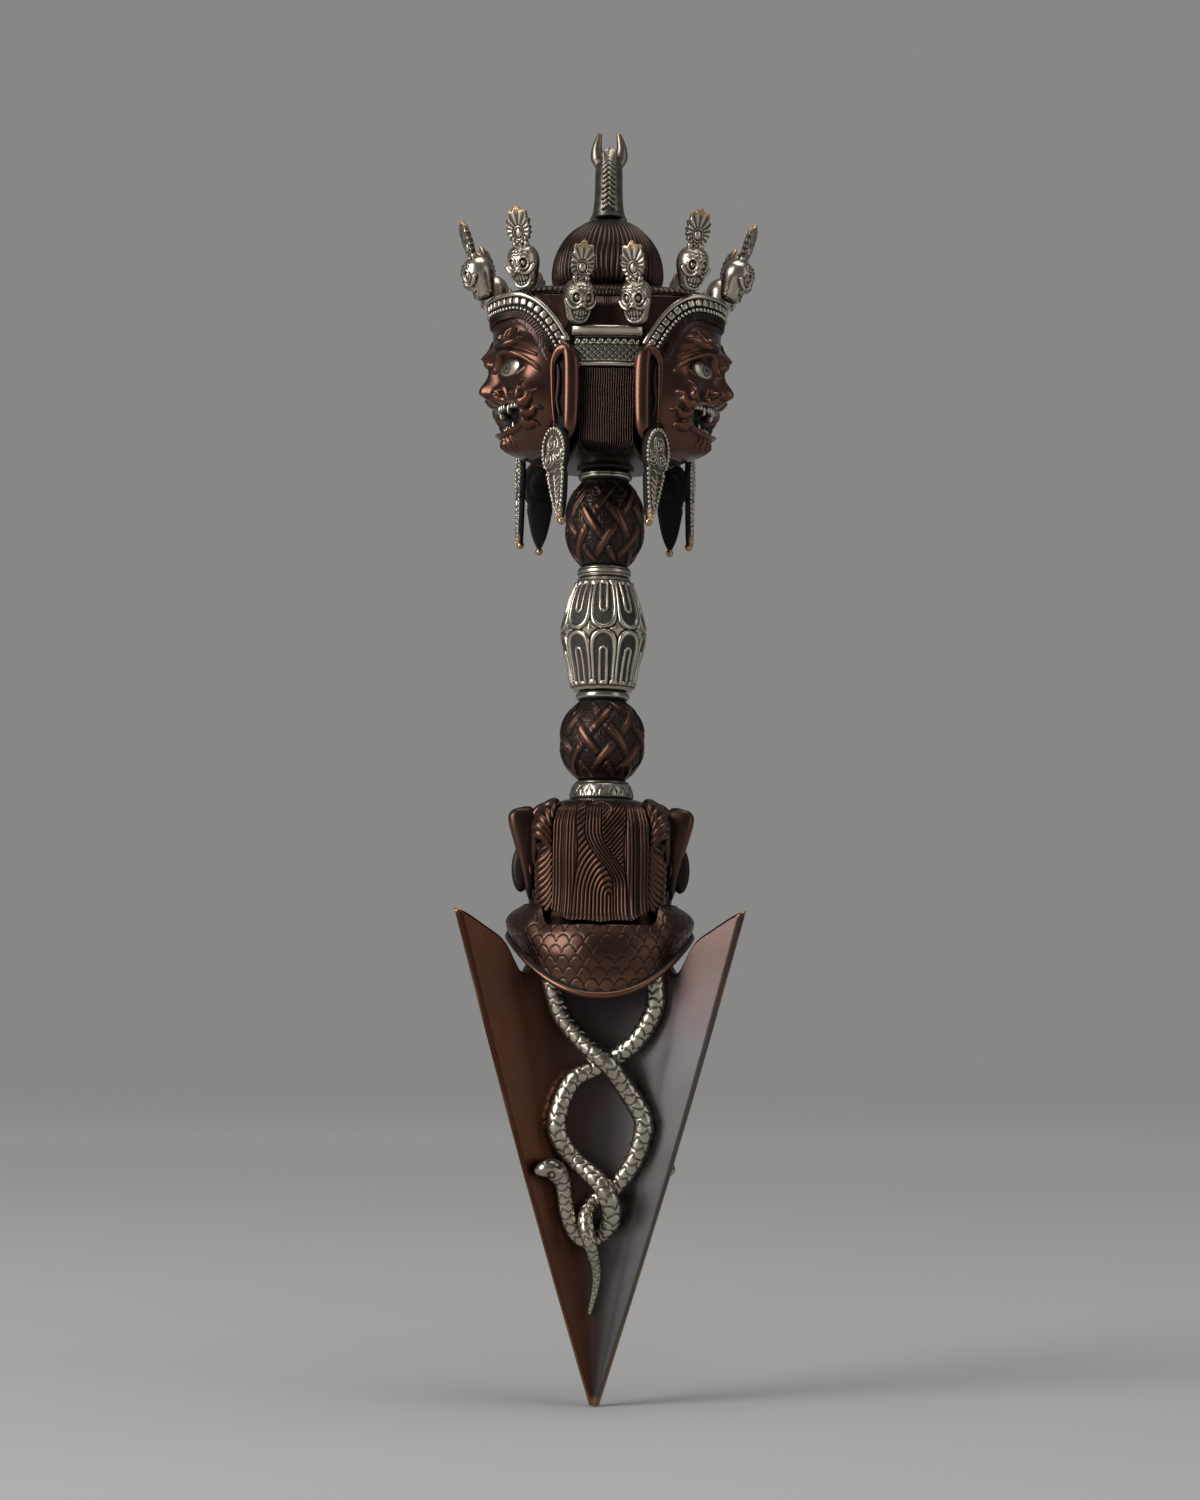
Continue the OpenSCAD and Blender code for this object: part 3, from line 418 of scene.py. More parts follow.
def unit_ball(n):
    return n.node("GeometryNodeMeshUVSphere", {}, {"Segments": 10, "Rings": 7, "Radius": 0.5})


def unit_block(n):
    cube = n.node("GeometryNodeMeshCube", {}, {"Vertices X": 3, "Vertices Y": 3, "Vertices Z": 2})
    return n.node("GeometryNodeSubdivisionSurface", {}, {"Mesh": cube, "Level": 1, "Edge Crease": 0.35})


def setting_tree(name, unit):
    """Sets a unit shape along a line, its X by the mark ahead and its Z by the mark out."""
    tree = bpy.data.node_groups.new(name, "GeometryNodeTree")
    sockets = (("Line", "Geometry"), ("Spacing", "Float"), ("Size", "Vector"), ("Uneven", "Float"),
               ("Seed", "Int"), ("Relief", "Float"), ("Wear", "Float"), ("Finish", "Material"))
    for label, kind in sockets:
        tree.interface.new_socket(name=label, in_out="INPUT", socket_type="NodeSocket" + kind)
    tree.interface.new_socket(name="Pieces", in_out="OUTPUT", socket_type="NodeSocketGeometry")
    n = Nodes(tree)
    given = tree.nodes.new("NodeGroupInput")
    put = {label: Value(n, given.outputs[label]) for label, _ in sockets}
    curve = n.node("GeometryNodeMeshToCurve", {}, {"Mesh": put["Line"]})
    places = n.node("GeometryNodeCurveToPoints", {"mode": "LENGTH"},
                    {"Curve": curve, "Length": put["Spacing"]})
    shape = unit(n)
    for mark, value in (("relief", put["Relief"]), ("wear", put["Wear"])):
        shape = n.node("GeometryNodeStoreNamedAttribute", {"data_type": "FLOAT", "domain": "POINT"},
                       {"Geometry": shape, "Name": mark, "Value": value})
    way = {}
    for mark in ("ahead", "out"):
        way[mark] = n.node("GeometryNodeInputNamedAttribute", {"data_type": "FLOAT_VECTOR"}, {"Name": mark})
    turn = n.node("FunctionNodeAlignRotationToVector", {"axis": "X"}, {"Vector": way["ahead"]})
    turn = n.node("FunctionNodeAlignRotationToVector", {"axis": "Z", "pivot_axis": "X"},
                  {"Rotation": turn, "Vector": way["out"]})
    share = n.node("FunctionNodeRandomValue", {"data_type": "FLOAT"},
                   {2: 1.0 - put["Uneven"], 3: 1.0 + put["Uneven"], "Seed": put["Seed"]}, 1)
    size = n.node("ShaderNodeVectorMath", {"operation": "SCALE"}, {0: put["Size"], "Scale": share})
    pieces = n.node("GeometryNodeInstanceOnPoints", {},
                    {"Points": places, "Instance": shape, "Rotation": turn, "Scale": size})
    for step in ("GeometryNodeRealizeInstances", "GeometryNodeSetShadeSmooth"):
        pieces = n.node(step, {}, {"Geometry": pieces})
    pieces = n.node("GeometryNodeSetMaterial", {}, {"Geometry": pieces, "Material": put["Finish"]})
    last = tree.nodes.new("NodeGroupOutput")
    tree.links.new(pieces.socket, last.inputs["Pieces"])
    return tree


SEED = 4
BALLS_ON_LINE = setting_tree("balls_on_line", unit_ball)
BLOCKS_ON_LINE = setting_tree("blocks_on_line", unit_block)


def set_along(name, tree, lines, finish, **settings):
    """One plain mesh of small pieces along lines, each (points, ahead, out) in millimetres."""
    mesh = bpy.data.meshes.new(name)
    points = np.vstack([line[0] for line in lines]) * MM
    ends = np.cumsum([len(line[0]) for line in lines])
    edges = [(i, i + 1) for i in range(len(points) - 1) if i + 1 not in ends]
    mesh.from_pydata(points.tolist(), edges, [])
    for k, mark in ((1, "ahead"), (2, "out")):
        layer = mesh.attributes.new(mark, "FLOAT_VECTOR", "POINT")
        layer.data.foreach_set("vector", np.vstack([line[k] for line in lines]).astype(np.float32).ravel())
    made = place_in_scene(name, mesh)
    setter = made.modifiers.new("setter", "NODES")
    setter.node_group = tree
    keys = {item.name: item.identifier for item in tree.interface.items_tree if item.in_out == "INPUT"}
    usual = {"Uneven": 0.04, "Seed": SEED, "Relief": 0.95, "Wear": 0.2, "Finish": finish}
    for label, value in {**usual, **settings}.items():
        setter[keys[label]] = value
    whole = bpy.data.meshes.new_from_object(made.evaluated_get(bpy.context.evaluated_depsgraph_get()))
    made.modifiers.clear()
    made.data = whole
    whole.name = name
    ride(made, SLOT_OF[finish])


# Levels up the axis and the sizes that the pieces share

FIN_HEIGHT, FIN_REACH, FIN_EDGE, BLADE_CORE, POINT = 132.0, 44.6, 0.9, 9.6, 2.8
ROOF_Z = FIN_HEIGHT - 8.6
GAP = 0.25
FIN_TURNS, SIN_60 = (60, 180, 300), math.sin(math.radians(60))


# Blade

LIP_NOTCH, LIP_NOTCH_SHARE, MOUTH_SHARE = 8.8, 0.54, 0.58
# A length along the flanks for their unevenness, the level of the painted shade under the makara's jaw, and
# the level above which the fins' painted sheen fades.
FLANK_L, SHADED_Z, SHEEN_FADE_Z = 139, 115, 92


def fin_radius(v):
    return mix(POINT / 2, FIN_REACH, v) + np.sin(np.pi * v)


def core_radius(v):
    return mix(POINT / 2.6, BLADE_CORE, np.power(v, 0.8))


def fin_half(s, v):
    """Half thickness of a fin at distance s from the axis."""
    core = core_radius(v)
    h0 = core * SIN_60
    edge = mix(POINT / 3, FIN_EDGE, np.clip(v * 4, 0, 1)) * np.minimum(1, h0)
    share = np.clip((fin_radius(v) - s) / (fin_radius(v) - core / 2), 0, 1)
    return edge + (h0 - edge) * share ** 3.3


def fin_top(u):
    """Height of a fin's upper edge at the share u of its reach."""
    return (mix(ROOF_Z, FIN_HEIGHT, ease((u - MOUTH_SHARE) / (1.06 - MOUTH_SHARE)))
            - LIP_NOTCH * bell(u - LIP_NOTCH_SHARE, 0.09))


def make_blade():
    steps, levels, round_edge = 30, 130, 0.9
    v = rising(0, 1, levels)
    share = (np.linspace(0, 1, steps + 1) ** 0.85)[None, :]
    s = mix(core_radius(v) / 2, fin_radius(v), share)
    half = fin_half(s, v)
    left = np.clip((s - fin_radius(v) + round_edge) / round_edge, 0, 1)
    half = half * np.sqrt(np.maximum(1 - left ** 2, 0.002))
    half = half + 0.03 * ripple(s, v * FLANK_L, s * 0.4, 9.0) * np.clip(share * 3, 0, 1) * (1 - left)
    z = v * fin_top(s / fin_radius(v))
    flute = np.clip((share - 0.1) / 0.5, 0, 1)
    # Painted shade: the fins are darkened round the level under the makara's jaw, most towards the core.
    relief = mix(0.4, 0.78, flute) - 0.24 * bell(z - SHADED_Z, 16) * (1 - share * 0.5)
    patchy = 0.62 + 0.38 * ripple(v * FLANK_L, s, v * 90, 5.0)
    wear = np.maximum(bell(fin_radius(v) - s, 0.42) * patchy, 0.9 * bell(z - FIN_HEIGHT, 2.2) * share)
    wear = np.maximum(wear, bell(z, 3.0))
    # Painted grey sheen: strong on one flank of every fin (on the right fin, the flank towards the camera,
    # mirroring the left lamp), fading up towards the jaw, and faint on the other flank; the grey near the
    # core on both flanks is the flute's mottled tint.
    dull = mix(1, 0.4, ease((z - SHEEN_FADE_Z) / 30))
    onward = ease(share / 0.3) + 0 * v
    haze = (mix(0.4, 1, onward) * dull, mix(0.4, 0.06, onward))
    rows, marks = [], {"relief": [], "wear": [], "haze": []}
    for a in FIN_TURNS:
        out = turned(np.stack([-half, -s, z], -1), a)
        back = turned(np.stack([half, -s, z], -1), a)[:, :0:-1]
        rows.append(np.concatenate([out, back], 1))
        for key, values in (("relief", relief), ("wear", wear)):
            values = np.broadcast_to(values, s.shape)
            marks[key].append(np.concatenate([values, values[:, :0:-1]], 1))
        marks["haze"].append(np.concatenate([haze[0], haze[1][:, :0:-1]], 1))
    grid = np.concatenate(rows, 1)
    marks = {key: np.concatenate(parts, 1) for key, parts in marks.items()}
    count, per_fin = grid.shape[1], 2 * steps + 1
    top = (levels - 1) * count
    faces = ring_faces(levels, count)[:-2 * count]
    low, high = levels * count, levels * count + 1
    faces += [[low, (i + 1) % count, i] for i in range(count)]
    for f in range(3):
        first = top + f * per_fin
        after = top + ((f + 1) % 3) * per_fin
        far = first + per_fin - 1
        faces += [[high, first, first + 1], [high, first + 1, far], [high, far, after]]
        faces += [[first + j, first + j + 1, first + per_fin - j - 1, first + per_fin - j]
                  for j in range(1, steps)]
    points = np.vstack([grid.reshape(-1, 3), [[0, 0, 0], [0, 0, ROOF_Z]]])
    marks = {key: np.append(m.ravel(), [m[0].mean(), m[-1].mean()]) for key, m in marks.items()}
    piece("blade_fins", points, faces, BLADE_COPPER, ["blade"], **marks)


# Snakes: routes are shares of the fins' reach and height, with the lift in body diameters

SNAKE_R, SNAKE_SIDES, SNAKE_STEP, SCALE_LENGTH, SCALES_ROUND, SNAKE_EYE = 2.6, 44, 0.34, 2.25, 4, 0.966
TAIL_ROUTE = [
    (-0.31, 0.875, 0), (-0.29, 0.855, 0), (-0.22, 0.785, 0.2), (-0.07, 0.725, 0.75), (0.055, 0.69, 1.05),
    (0.145, 0.65, 0.6), (0.26, 0.59, 0.1), (0.27, 0.55, 0), (0.21, 0.49, 0), (0.1, 0.44, 0),
    (-0.02, 0.41, 0.1), (-0.065, 0.375, 0.7), (-0.035, 0.33, 0.95), (0, 0.28, 0.3), (0, 0.24, 0),
    (-0.035, 0.185, 0)]
HEAD_ROUTE = [
    (0.33, 0.87, 0), (0.335, 0.85, 0), (0.33, 0.8, 0), (0.22, 0.735, 0.05), (0.045, 0.69, 0),
    (-0.135, 0.66, 0), (-0.225, 0.6, 0), (-0.235, 0.55, 0), (-0.145, 0.5, 0.1), (-0.01, 0.46, 0.7),
    (0.075, 0.42, 0.95), (0.085, 0.375, 0.5), (0.02, 0.345, 0), (-0.07, 0.335, 0), (-0.14, 0.36, 0),
    (-0.18, 0.4, 0.1), (-0.2, 0.45, 0.25), (-0.27, 0.478, 0.3), (-0.36, 0.472, 0.2)]
TAIL_TAPER = [(0, 1), (0.6, 0.96), (0.75, 0.8), (0.9, 0.55), (1, 0.22)]
HEAD_SWELL = [(0, 1), (0.8, 0.92), (0.88, 0.84), (0.92, 0.95), (0.955, 1.1), (0.985, 0.8), (1, 0.4)]


def flank_s(x, v):
    """How far out along a fin its flank is x from the flute's middle."""
    core = core_radius(v) / 2
    s = max(core, x)
    for _ in range(4):
        s = max(core, (x + float(fin_half(s, v)) / 2) / SIN_60)
    return s


def flute_y(x, z):
    """The flute's surface at x and z, as its place along Y."""
    v = min(1.0, max(0.0, z / ROOF_Z))
    s = flank_s(abs(x), v)
    return -s / 2 - float(fin_half(s, v)) * SIN_60


def on_flute(p, r):
    """Middle of a body of radius r that rests on the flute, or is lifted over another."""
    x, z = p[0] * FIN_REACH, p[1] * FIN_HEIGHT
    sides = [i * r / 3.2 for i in range(-3, 4)]
    rest = min(flute_y(x + d, z) - math.sqrt(r * r - d * d) for d in sides)
    return [x, rest - GAP - p[2] * 2 * SNAKE_R, z]


def snake_skin(route, girth, has_head):
    """Rings of a scaled snake along its route, and the heights of its scales."""
    coarse = smooth_path(route, 2)
    share = np.linspace(0, 1, len(coarse))
    table = np.array(girth, float)
    radii = np.interp(share, table[:, 0], table[:, 1]) * SNAKE_R
    knots = np.array([on_flute(p, r) for p, r in zip(coarse, radii)])
    path = smooth_path(knots, 16)
    run = lengths_along(path)
    even = np.linspace(0, run[-1], int(run[-1] / SNAKE_STEP))
    path = np.stack([np.interp(even, run, path[:, i]) for i in range(3)], 1)
    t = even / even[-1]
    swell = along(girth, t)
    around = np.arange(SNAKE_SIDES)[None, :] / SNAKE_SIDES
    lengths = np.concatenate([[0], np.diff(even)]) / (SCALE_LENGTH * np.clip(swell, 0.5, 1))
    place = np.cumsum(lengths)[:, None] * (-1 if has_head else 1)
    height = scales(around * SCALES_ROUND + 0.25, place, wide=0.57, tall=1.22, cut=0.12, rise=0.16)
    if has_head:
        bare = ease((t - 0.935) / 0.02)[:, None]
        height = mix(height, 0.85, bare)
        up = np.cos(2 * np.pi * (around - 0.25))
        side = np.sin(2 * np.pi * (around - 0.25))
        for eye in (-1, 1):
            spot = np.hypot((t[:, None] - SNAKE_EYE) / 0.0085, (side * eye - 0.62) / 0.3)
            ring = bell(spot - 1, 0.35) * (up > 0)
            height = height + 0.5 * bell(spot, 0.7) * (up > 0) - 0.9 * ring
        slit = bell(up + 0.12, 0.1) * ease((t[:, None] - 0.962) / 0.01)
        height = np.clip(height - slit, -0.2, 1.4)
    r = swell[:, None] * SNAKE_R + (height - 0.8) * 0.3 * np.clip(swell / 0.8, 0.4, 1)[:, None]
    return tube_grid(path, r, SNAKE_SIDES, (0, -1, 0)), height


def make_snakes():
    for kind, route, girth in (("tail", TAIL_ROUTE, TAIL_TAPER), ("head", HEAD_ROUTE, HEAD_SWELL)):
        grid, height = snake_skin(route, girth, kind == "head")
        for flute, a in (("back", 0), ("right", 120), ("left", 240)):
            name = f"{kind}_snake_{flute}"
            Skin().rings(turned(grid, a), relief=height).piece(name + "_scaled", SILVER, [name])


make_blade()
make_snakes()


# Chased drawings on surfaces

def nearest(u, v, path):
    """Distance from points to a line, and how far along it they are, from 0 to 1."""
    best, share = np.full(u.shape, 1e9), np.zeros(u.shape)
    for k, (a, b) in enumerate(zip(path, path[1:])):
        run = b - a
        t = np.clip(((u - a[0]) * run[0] + (v - a[1]) * run[1]) / max(run @ run, 1e-9), 0, 1)
        d = np.hypot(u - a[0] - t * run[0], v - a[1] - t * run[1])
        share = np.where(d < best, (k + t) / (len(path) - 1), share)
        best = np.minimum(best, d)
    return best, share


def curl(u, v, r, start, turns, shrink=0.12):
    """Points of a spiral line, from its rim inwards."""
    t = np.linspace(0, 1, 4 + int(abs(turns) * 8))
    angle = np.radians(start + turns * 360 * t)
    r = r * mix(1, shrink, t)
    return np.stack([u + r * np.cos(angle), v + r * np.sin(angle)], 1)


class Drawing:
    """Heights and cuts of chased work on a surface with flat coordinates in millimetres."""

    def __init__(self, u, v, ground=0.7):
        self.u, self.v = [np.array(x) for x in np.broadcast_arrays(u, v)]
        self.height = np.zeros(self.u.shape)
        self.relief = np.full(self.u.shape, ground)

    def near(self, path, reach):
        low, high = path.min(0) - reach, path.max(0) + reach
        return ((self.u > low[0]) & (self.u < high[0]) & (self.v > low[1]) & (self.v < high[1]))

    def line(self, path, wide, rise, far=None, dark=0.6):
        """A raised round line whose width runs from wide to far, in a dark cut."""
        path = smooth_path(path, 4) if len(path) > 2 else np.array(path, float)
        far = wide if far is None else far
        here = self.near(path, max(wide, far) * 1.8)
        d, t = nearest(self.u[here], self.v[here], path)
        q = d / mix(wide, far, t)
        lift = rise * dome(q) * mix(1, far / wide, t) ** 0.5
        self.height[here] = np.where(q < 1, np.maximum(self.height[here], lift), self.height[here])
        shaded = self.relief[here] * ease((q - 1) / dark + 0.08)
        self.relief[here] = np.where(q < 1, 0.42 + 0.58 * dome(q), shaded)

    def knob(self, u, v, r, rise):
        self.line([[u, v], [u + 0.001, v]], r, rise, dark=0.5)

    def pair(self, path, wide, rise, far=None):
        """The same line on the left and the right."""
        for side in (-1, 1):
            self.line(np.array(path, float) * [side, 1], wide, rise, far)


def loop(u, v, half_u, half_v, power=1.0, count=20):
    """Points of a closed oval line."""
    s = np.linspace(0, math.tau, count + 1)
    c, z = np.cos(s), np.sin(s)
    return np.stack([u + half_u * np.sign(c) * np.abs(c) ** power,
                     v + half_v * np.sign(z) * np.abs(z) ** power], 1)


def boss(outline, rows, sides=48):
    """Rings of a raised shape: outline is its reach by angle, rows are (share of reach, height)."""
    angle, rows = circle(sides), np.array(rows, float)
    reach = outline(angle)
    q, h = rows[:, :1], rows[:, 1:2]
    return np.stack([q * reach * np.cos(angle), q * reach * np.sin(angle), h + 0 * q * reach], -1)


def set_on(grid, place, right, up, out):
    """Points drawn across, up and outward, set at a place."""
    axes = np.array([right, up, out], float)
    return np.asarray(place, float) + grid @ axes


def slab(z, half, front, back, steps):
    """Rings round an upright plate whose front looks along -Y."""
    x = sweep(-1, 1, steps) * np.reshape(half, (-1, 1))
    x, z, front, back = np.broadcast_arrays(x, np.reshape(z, (-1, 1)), front, back)
    return np.concatenate([np.stack([x, front, z], -1), sparse(np.stack([x, back, z], -1))], 1)


def sparse(grid):
    """The hidden back of a plate: a few columns of it, from the far side to the near one."""
    return grid[:, np.linspace(grid.shape[1] - 1, 0, 8).astype(int)]


def folded(values, behind=0.4):
    """Marks of a plate's front, with an even value for its back."""
    return np.concatenate([values, np.full((len(values), 8), behind)], 1)


# Makara: the sea monster's head, with its mouth round the blade's root

MAKARA_Z, MAKARA_H = ROOF_Z + GAP, 38.8
JAW_R, JAW_WALL, JAW_DROP, JAW_TURN, JAW_HEIGHT = 25.4, 2.8, 15.4, 94, 4.0
MANE_TURN, MANE_THICK = 38, 2.0
MANE_LOW = (JAW_HEIGHT + 2 * GAP) / MAKARA_H
MAKARA_PROFILE = [(0, 22), (0.08, 22), (0.12, 20.6), (0.17, 19.2), (0.22, 19), (0.3, 19.1), (0.7, 19.2),
                  (0.85, 18.4), (0.93, 16.4), (0.97, 13.8), (1, 10.2)]


def makara_r(a, k):
    """Distance from the axis to the makara's skin: muzzle, brows, cheeks and ear roots on the profile."""
    s, front = np.abs(a), 180 - np.abs(a)
    features = 13 * bell(front, 30) * skew_bell(k - 0.22, 0.24, 0.12)
    for rise, side, turn, wide, share, tall in (
            (2.4, front, 0, 24, 0.62, 0.1), (4.4, front, 40, 13, 0.56, 0.1), (2.6, front, 38, 17, 0.76, 0.06),
            (2.2, front, 62, 14, 0.3, 0.16), (-1.6, front, 60, 8, 0.62, 0.2), (1.4, s, 52, 6, 0.45, 0.3),
            (1.8, s, 50, 9, 0.8, 0.12)):
        features = features + rise * bell(side - turn, wide) * bell(k - share, tall)
    limit = JAW_R - JAW_WALL - GAP - 0.2 + np.maximum(0, (s - 99) * 0.5) + np.maximum(0, k - 0.27) * 60
    return np.minimum(limit, along(MAKARA_PROFILE, k) + features)


def makara_drawing(a, z):
    """Locks, ribbed fins, brows, nostrils and wrinkles; a in degrees over three, z over the roof."""
    d = Drawing(a, z, 0.66)

    def stroke(path, wide, rise, far):
        d.pair(np.array(path) * [1 / 3, 1], wide, rise, far)

    for lock in ([[80, 35.2], [68, 37], [56, 36.6], [47, 33.8], [45.5, 30.8]],
                 [[79, 32.8], [69, 33.8], [59, 32.8], [52, 30], [52, 27.8]],
                 [[79, 30.2], [72, 30.6], [64, 29], [59, 26.4], [64, 23.6]]):
        stroke(lock, 1.15, 1.5, 0.7)
    stroke([[62, 27.5], [58.5, 24], [57.5, 18], [57, 12], [53, 7.6]], 0.55, 0.9, 0.35)
    for i in range(9):
        foot = 25.2 - i * 1.72
        stroke([[55.5, foot - 1.4], [50, foot - 0.9], [44, foot + 0.5], [39.5, foot + 2.2]], 0.72, 0.95, 0.5)
    for i in range(6):
        foot = 29 - i * 4.0
        stroke([[88, foot - 1], [98, foot + 0.6], [107, foot - 0.4], [110, foot - 2.6], [104, foot - 3.2]],
               1.25, 1.0, 0.45)
    for i in range(3):
        stroke([[163 - i * 4, 27.6 + i * 1.7], [148 - i * 3, 28.6 + i * 1.7], [132, 27 + i * 1.6],
                [120, 24 + i * 2.4], [113, 25 + i * 2.6]], 1.0, 1.2, 0.45)
    d.pair(loop(140 / 3, 21.7, 2.4, 2.5), 0.6, 1.3)
    d.pair(loop(140 / 3, 21.7, 4.5, 3.9), 0.4, 0.5)
    for i in range(4):
        under_eye = [[56.5, 19.4 - i * 1.7], [52, 18.2 - i * 1.8], [47 - i, 16.6 - i * 1.6]]
        d.pair(under_eye, 0.55, 0.55, 0.3)
    d.pair(curl(54.5, 7.2, 2.6, -60, -1.2), 0.75, 1.0, 0.4)
    d.pair([[59, 2.2], [52, 1.5], [44, 2.4], [36, 4.6], [32, 8.0]], 0.8, 1.1, 0.5)
    d.pair([[36, 4.8], [30, 6], [27, 10], [30, 13], [33, 11.5], [31.5, 9.8]], 1.0, 0.9, 0.4)
    return d


def make_makara_head():
    rows, columns = 110, 300
    a = full_turn(columns)
    k = rising(0, 1, rows)
    z = k * (MAKARA_H - GAP)
    d = makara_drawing(a / 3, z)
    bare = ease((k - 0.03) / 0.05) * ease((0.985 - k) / 0.03)
    r = makara_r(a, k) + (d.height + 0.12 * ripple(a / 3, z, z, 3.0)) * bare - 0.5 * bare
    wear = np.clip(d.height / 1.6, 0, 1) * 0.6
    Skin().rings(polar(a, r, MAKARA_Z + z), relief=d.relief, wear=wear).piece(
        "makara_head_chased", DARK_COPPER, ["makara_head"])


JAW_PROFILE = [(0, 24.7), (0.15, 24.9), (0.35, 25.42), (0.55, 25.9), (0.82, 25.2), (1, 23.75)]


def lip_z(a):
    """Level of the jaw's lip: lowest at the back, up to the corners of the mouth."""
    return MAKARA_Z - JAW_DROP + (JAW_DROP + 0.9) * np.sin(np.radians(np.abs(a) * 90 / JAW_TURN)) ** 2.1


def make_makara_jaw():
    columns, rows = 320, 88
    a = rising(-JAW_TURN, JAW_TURN, columns)
    beside = ease((np.abs(a) - 36) / 16)
    low, high = lip_z(a), MAKARA_Z + JAW_HEIGHT + 6 * beside
    inner = JAW_R - JAW_WALL
    s = sweep(0, 1, rows)
    edge = 0.16
    roll = np.clip(s / edge, 0, 1)
    z = np.where(s < edge, low - 0.4 + 2.2 * roll, mix(low + 1.8, high, (s - edge) / (1 - edge)))
    t = np.clip((z - low) / (high - low), 0, 1)
    body = along(JAW_PROFILE, t)
    body = body - 3.2 * beside * np.clip((t - 0.3) / 0.7, 0, 1) ** 2.2
    height = scales(a * math.radians(JAW_R) / 4.0, (z - MAKARA_Z) / 2.9, tall=1.4, cut=0.1, rise=0.1)
    body = body + (height - 0.9) * 0.16
    height = np.clip(height * 1.4, 0, 1) * 0.85
    r = np.where(s < edge, JAW_R - 0.6 + 1.0 * np.sin(np.pi * roll) ** 0.6, body)
    relief = np.where(s < edge, 0.35 + 0.65 * np.sin(np.pi * roll), height)
    relief = relief * groove((s - edge) / 0.03, 1, 0.9)
    worn_place = bell(a, 26) * bell(z - low - 3.5, 3.2)
    wear = np.where(s < edge, 0.75 * np.sin(np.pi * roll), (0.15 + 0.7 * worn_place) * height)
    back = np.array([[1, 1], [0, 0.55], [0, 0.2], [-0.1, 0]])
    inside = polar(a, inner - back[:, 0] * 1.6 * beside, mix(low, high, back[:, 1]))
    grid = np.concatenate([polar(a, r, z), inside], 1)
    pad = np.full((columns, len(back)), 0.35)
    relief, wear = np.concatenate([relief, pad], 1), np.concatenate([wear, pad * 0], 1)
    Skin().rings(grid, relief=relief, wear=wear).piece("makara_jaw_scaled", DARK_COPPER, ["makara_jaw"])


def mane_comb(x, z):
    """Strands of the mane: straight columns, an S-wave in the middle, arches below and a wedge above it."""
    bend = -3 + 7.5 * ease((29 - z) / 15)
    across = x - bend
    wave = strands(across / 0.92, 0.55)
    wedge = strands((x * 0.75 - z * 0.62) / 0.9, 0.55)
    arch = strands(np.hypot(x - 2.2, np.maximum(0, z - 11.5) * 0.62) / 0.98, 0.55)
    column = strands(x / 1.02, 0.5)
    beside = np.abs(x) - 6.6 - 0.6 * np.sin(z / 5)
    height = np.select([beside > 0, across > 3.1, across < -1.2], [column, wedge, arch], wave)
    for edge in (across - 3.1, across + 1.2):
        height = height * (1 - 0.8 * bell(edge, 0.18) * (np.abs(x) < 6.4))
    return height * groove(beside, 0.2) * groove(np.abs(x) - 10.2, 0.14)


def make_mane():
    rows, steps = 170, 230
    a = sweep(-MANE_TURN, MANE_TURN, steps)
    x = a * 0.36
    foot = MANE_LOW + 0.09 * (np.abs(a) / MANE_TURN) ** 3 + 0.015 * np.abs(np.sin(x * 0.42))
    k = mix(foot, 0.97, rising(0, 1, rows))
    z, x = k * (MAKARA_H - GAP), x + 0 * k
    height = mane_comb(x, z)
    hook = Drawing(x, z, 0.0)
    hook.line([[-2.2, 37.2], [0.6, 37.6], [2.5, 36.2], [2.8, 34.4], [1.8, 32.8]], 0.95, 0.9, far=0.4)
    on_hook = hook.height > 0.02
    height = np.where(on_hook, 0.6 + 0.4 * hook.height, height)
    base = makara_r(a, k) + GAP + MANE_THICK * (1 - 0.5 * (np.abs(a) / MANE_TURN) ** 4)
    swell = 1.3 * bell(k - MANE_LOW, 0.16) + 0.5 * bell(x - 1, 4) * bell(z - 17, 5) + 0.25 * np.cos(x * 0.9)
    r = base + swell + (height - 0.7) * 0.85 + hook.height * 0.5
    back = sparse(polar(a, makara_r(a, k) + GAP, MAKARA_Z + z))
    grid = np.concatenate([polar(a, r, MAKARA_Z + z), back], 1)
    wear = np.clip(height - 0.5, 0, 1) * (0.5 + 1.0 * bell(x - 0.5, 3) * bell(z - 16, 6)) + 0.3 * on_hook
    Skin().rings(grid, relief=folded(height), wear=folded(wear, 0)).piece(
        "makara_mane_combed", DARK_COPPER, ["makara_mane"], "dark_copper")


def make_makara_locks():
    """Five crescent locks and a long one on each side of the mane, and a ribbed fin below them."""
    skin = Skin()
    locks = [((69 - i * 0.8, 28.6 - i * 2.0, 0.5), (66 - i * 0.9, 33.8 - i * 2.05, 1.2),
              (57 - i * 0.6, 37.0 - i * 2.1, 1.5), (47, 36.2 - i * 2.15, 1.3),
              (41.5, 32.6 - i * 2.2, 0.6)) for i in range(5)]
    locks += [((72, 37.0, 0.9), (76, 35.6, 1.4), (79, 31.0, 1.5), (77, 24.0, 1.1), (74, 18.0, 0.5))]
    ribs = [((62 - i * 0.4, 19.4 - i * 1.75, 0.5), (54, 20.4 - i * 1.75, 0.95), (46, 22.4 - i * 1.75, 0.9),
             (41.0, 25.2 - i * 1.75, 0.5)) for i in range(9)]
    for side in (-1, 1):
        for line in locks + ribs:
            path = smooth_path(line, 7)
            a, z, r = path[:, :1], path[:, 1:2], path[:, 2]
            seat = makara_r(a, z / MAKARA_H) + 0.3 * r[:, None]
            points = polar(a * side, seat, MAKARA_Z + z)[:, 0]
            full = (r / r.max())[:, None]
            skin.rings(tube_grid(points, r, 12, (0, 0.2, 1)), relief=mix(0.55, 0.95, full), wear=0.35 * full)
    skin.piece("makara_locks_curled", DARK_COPPER)


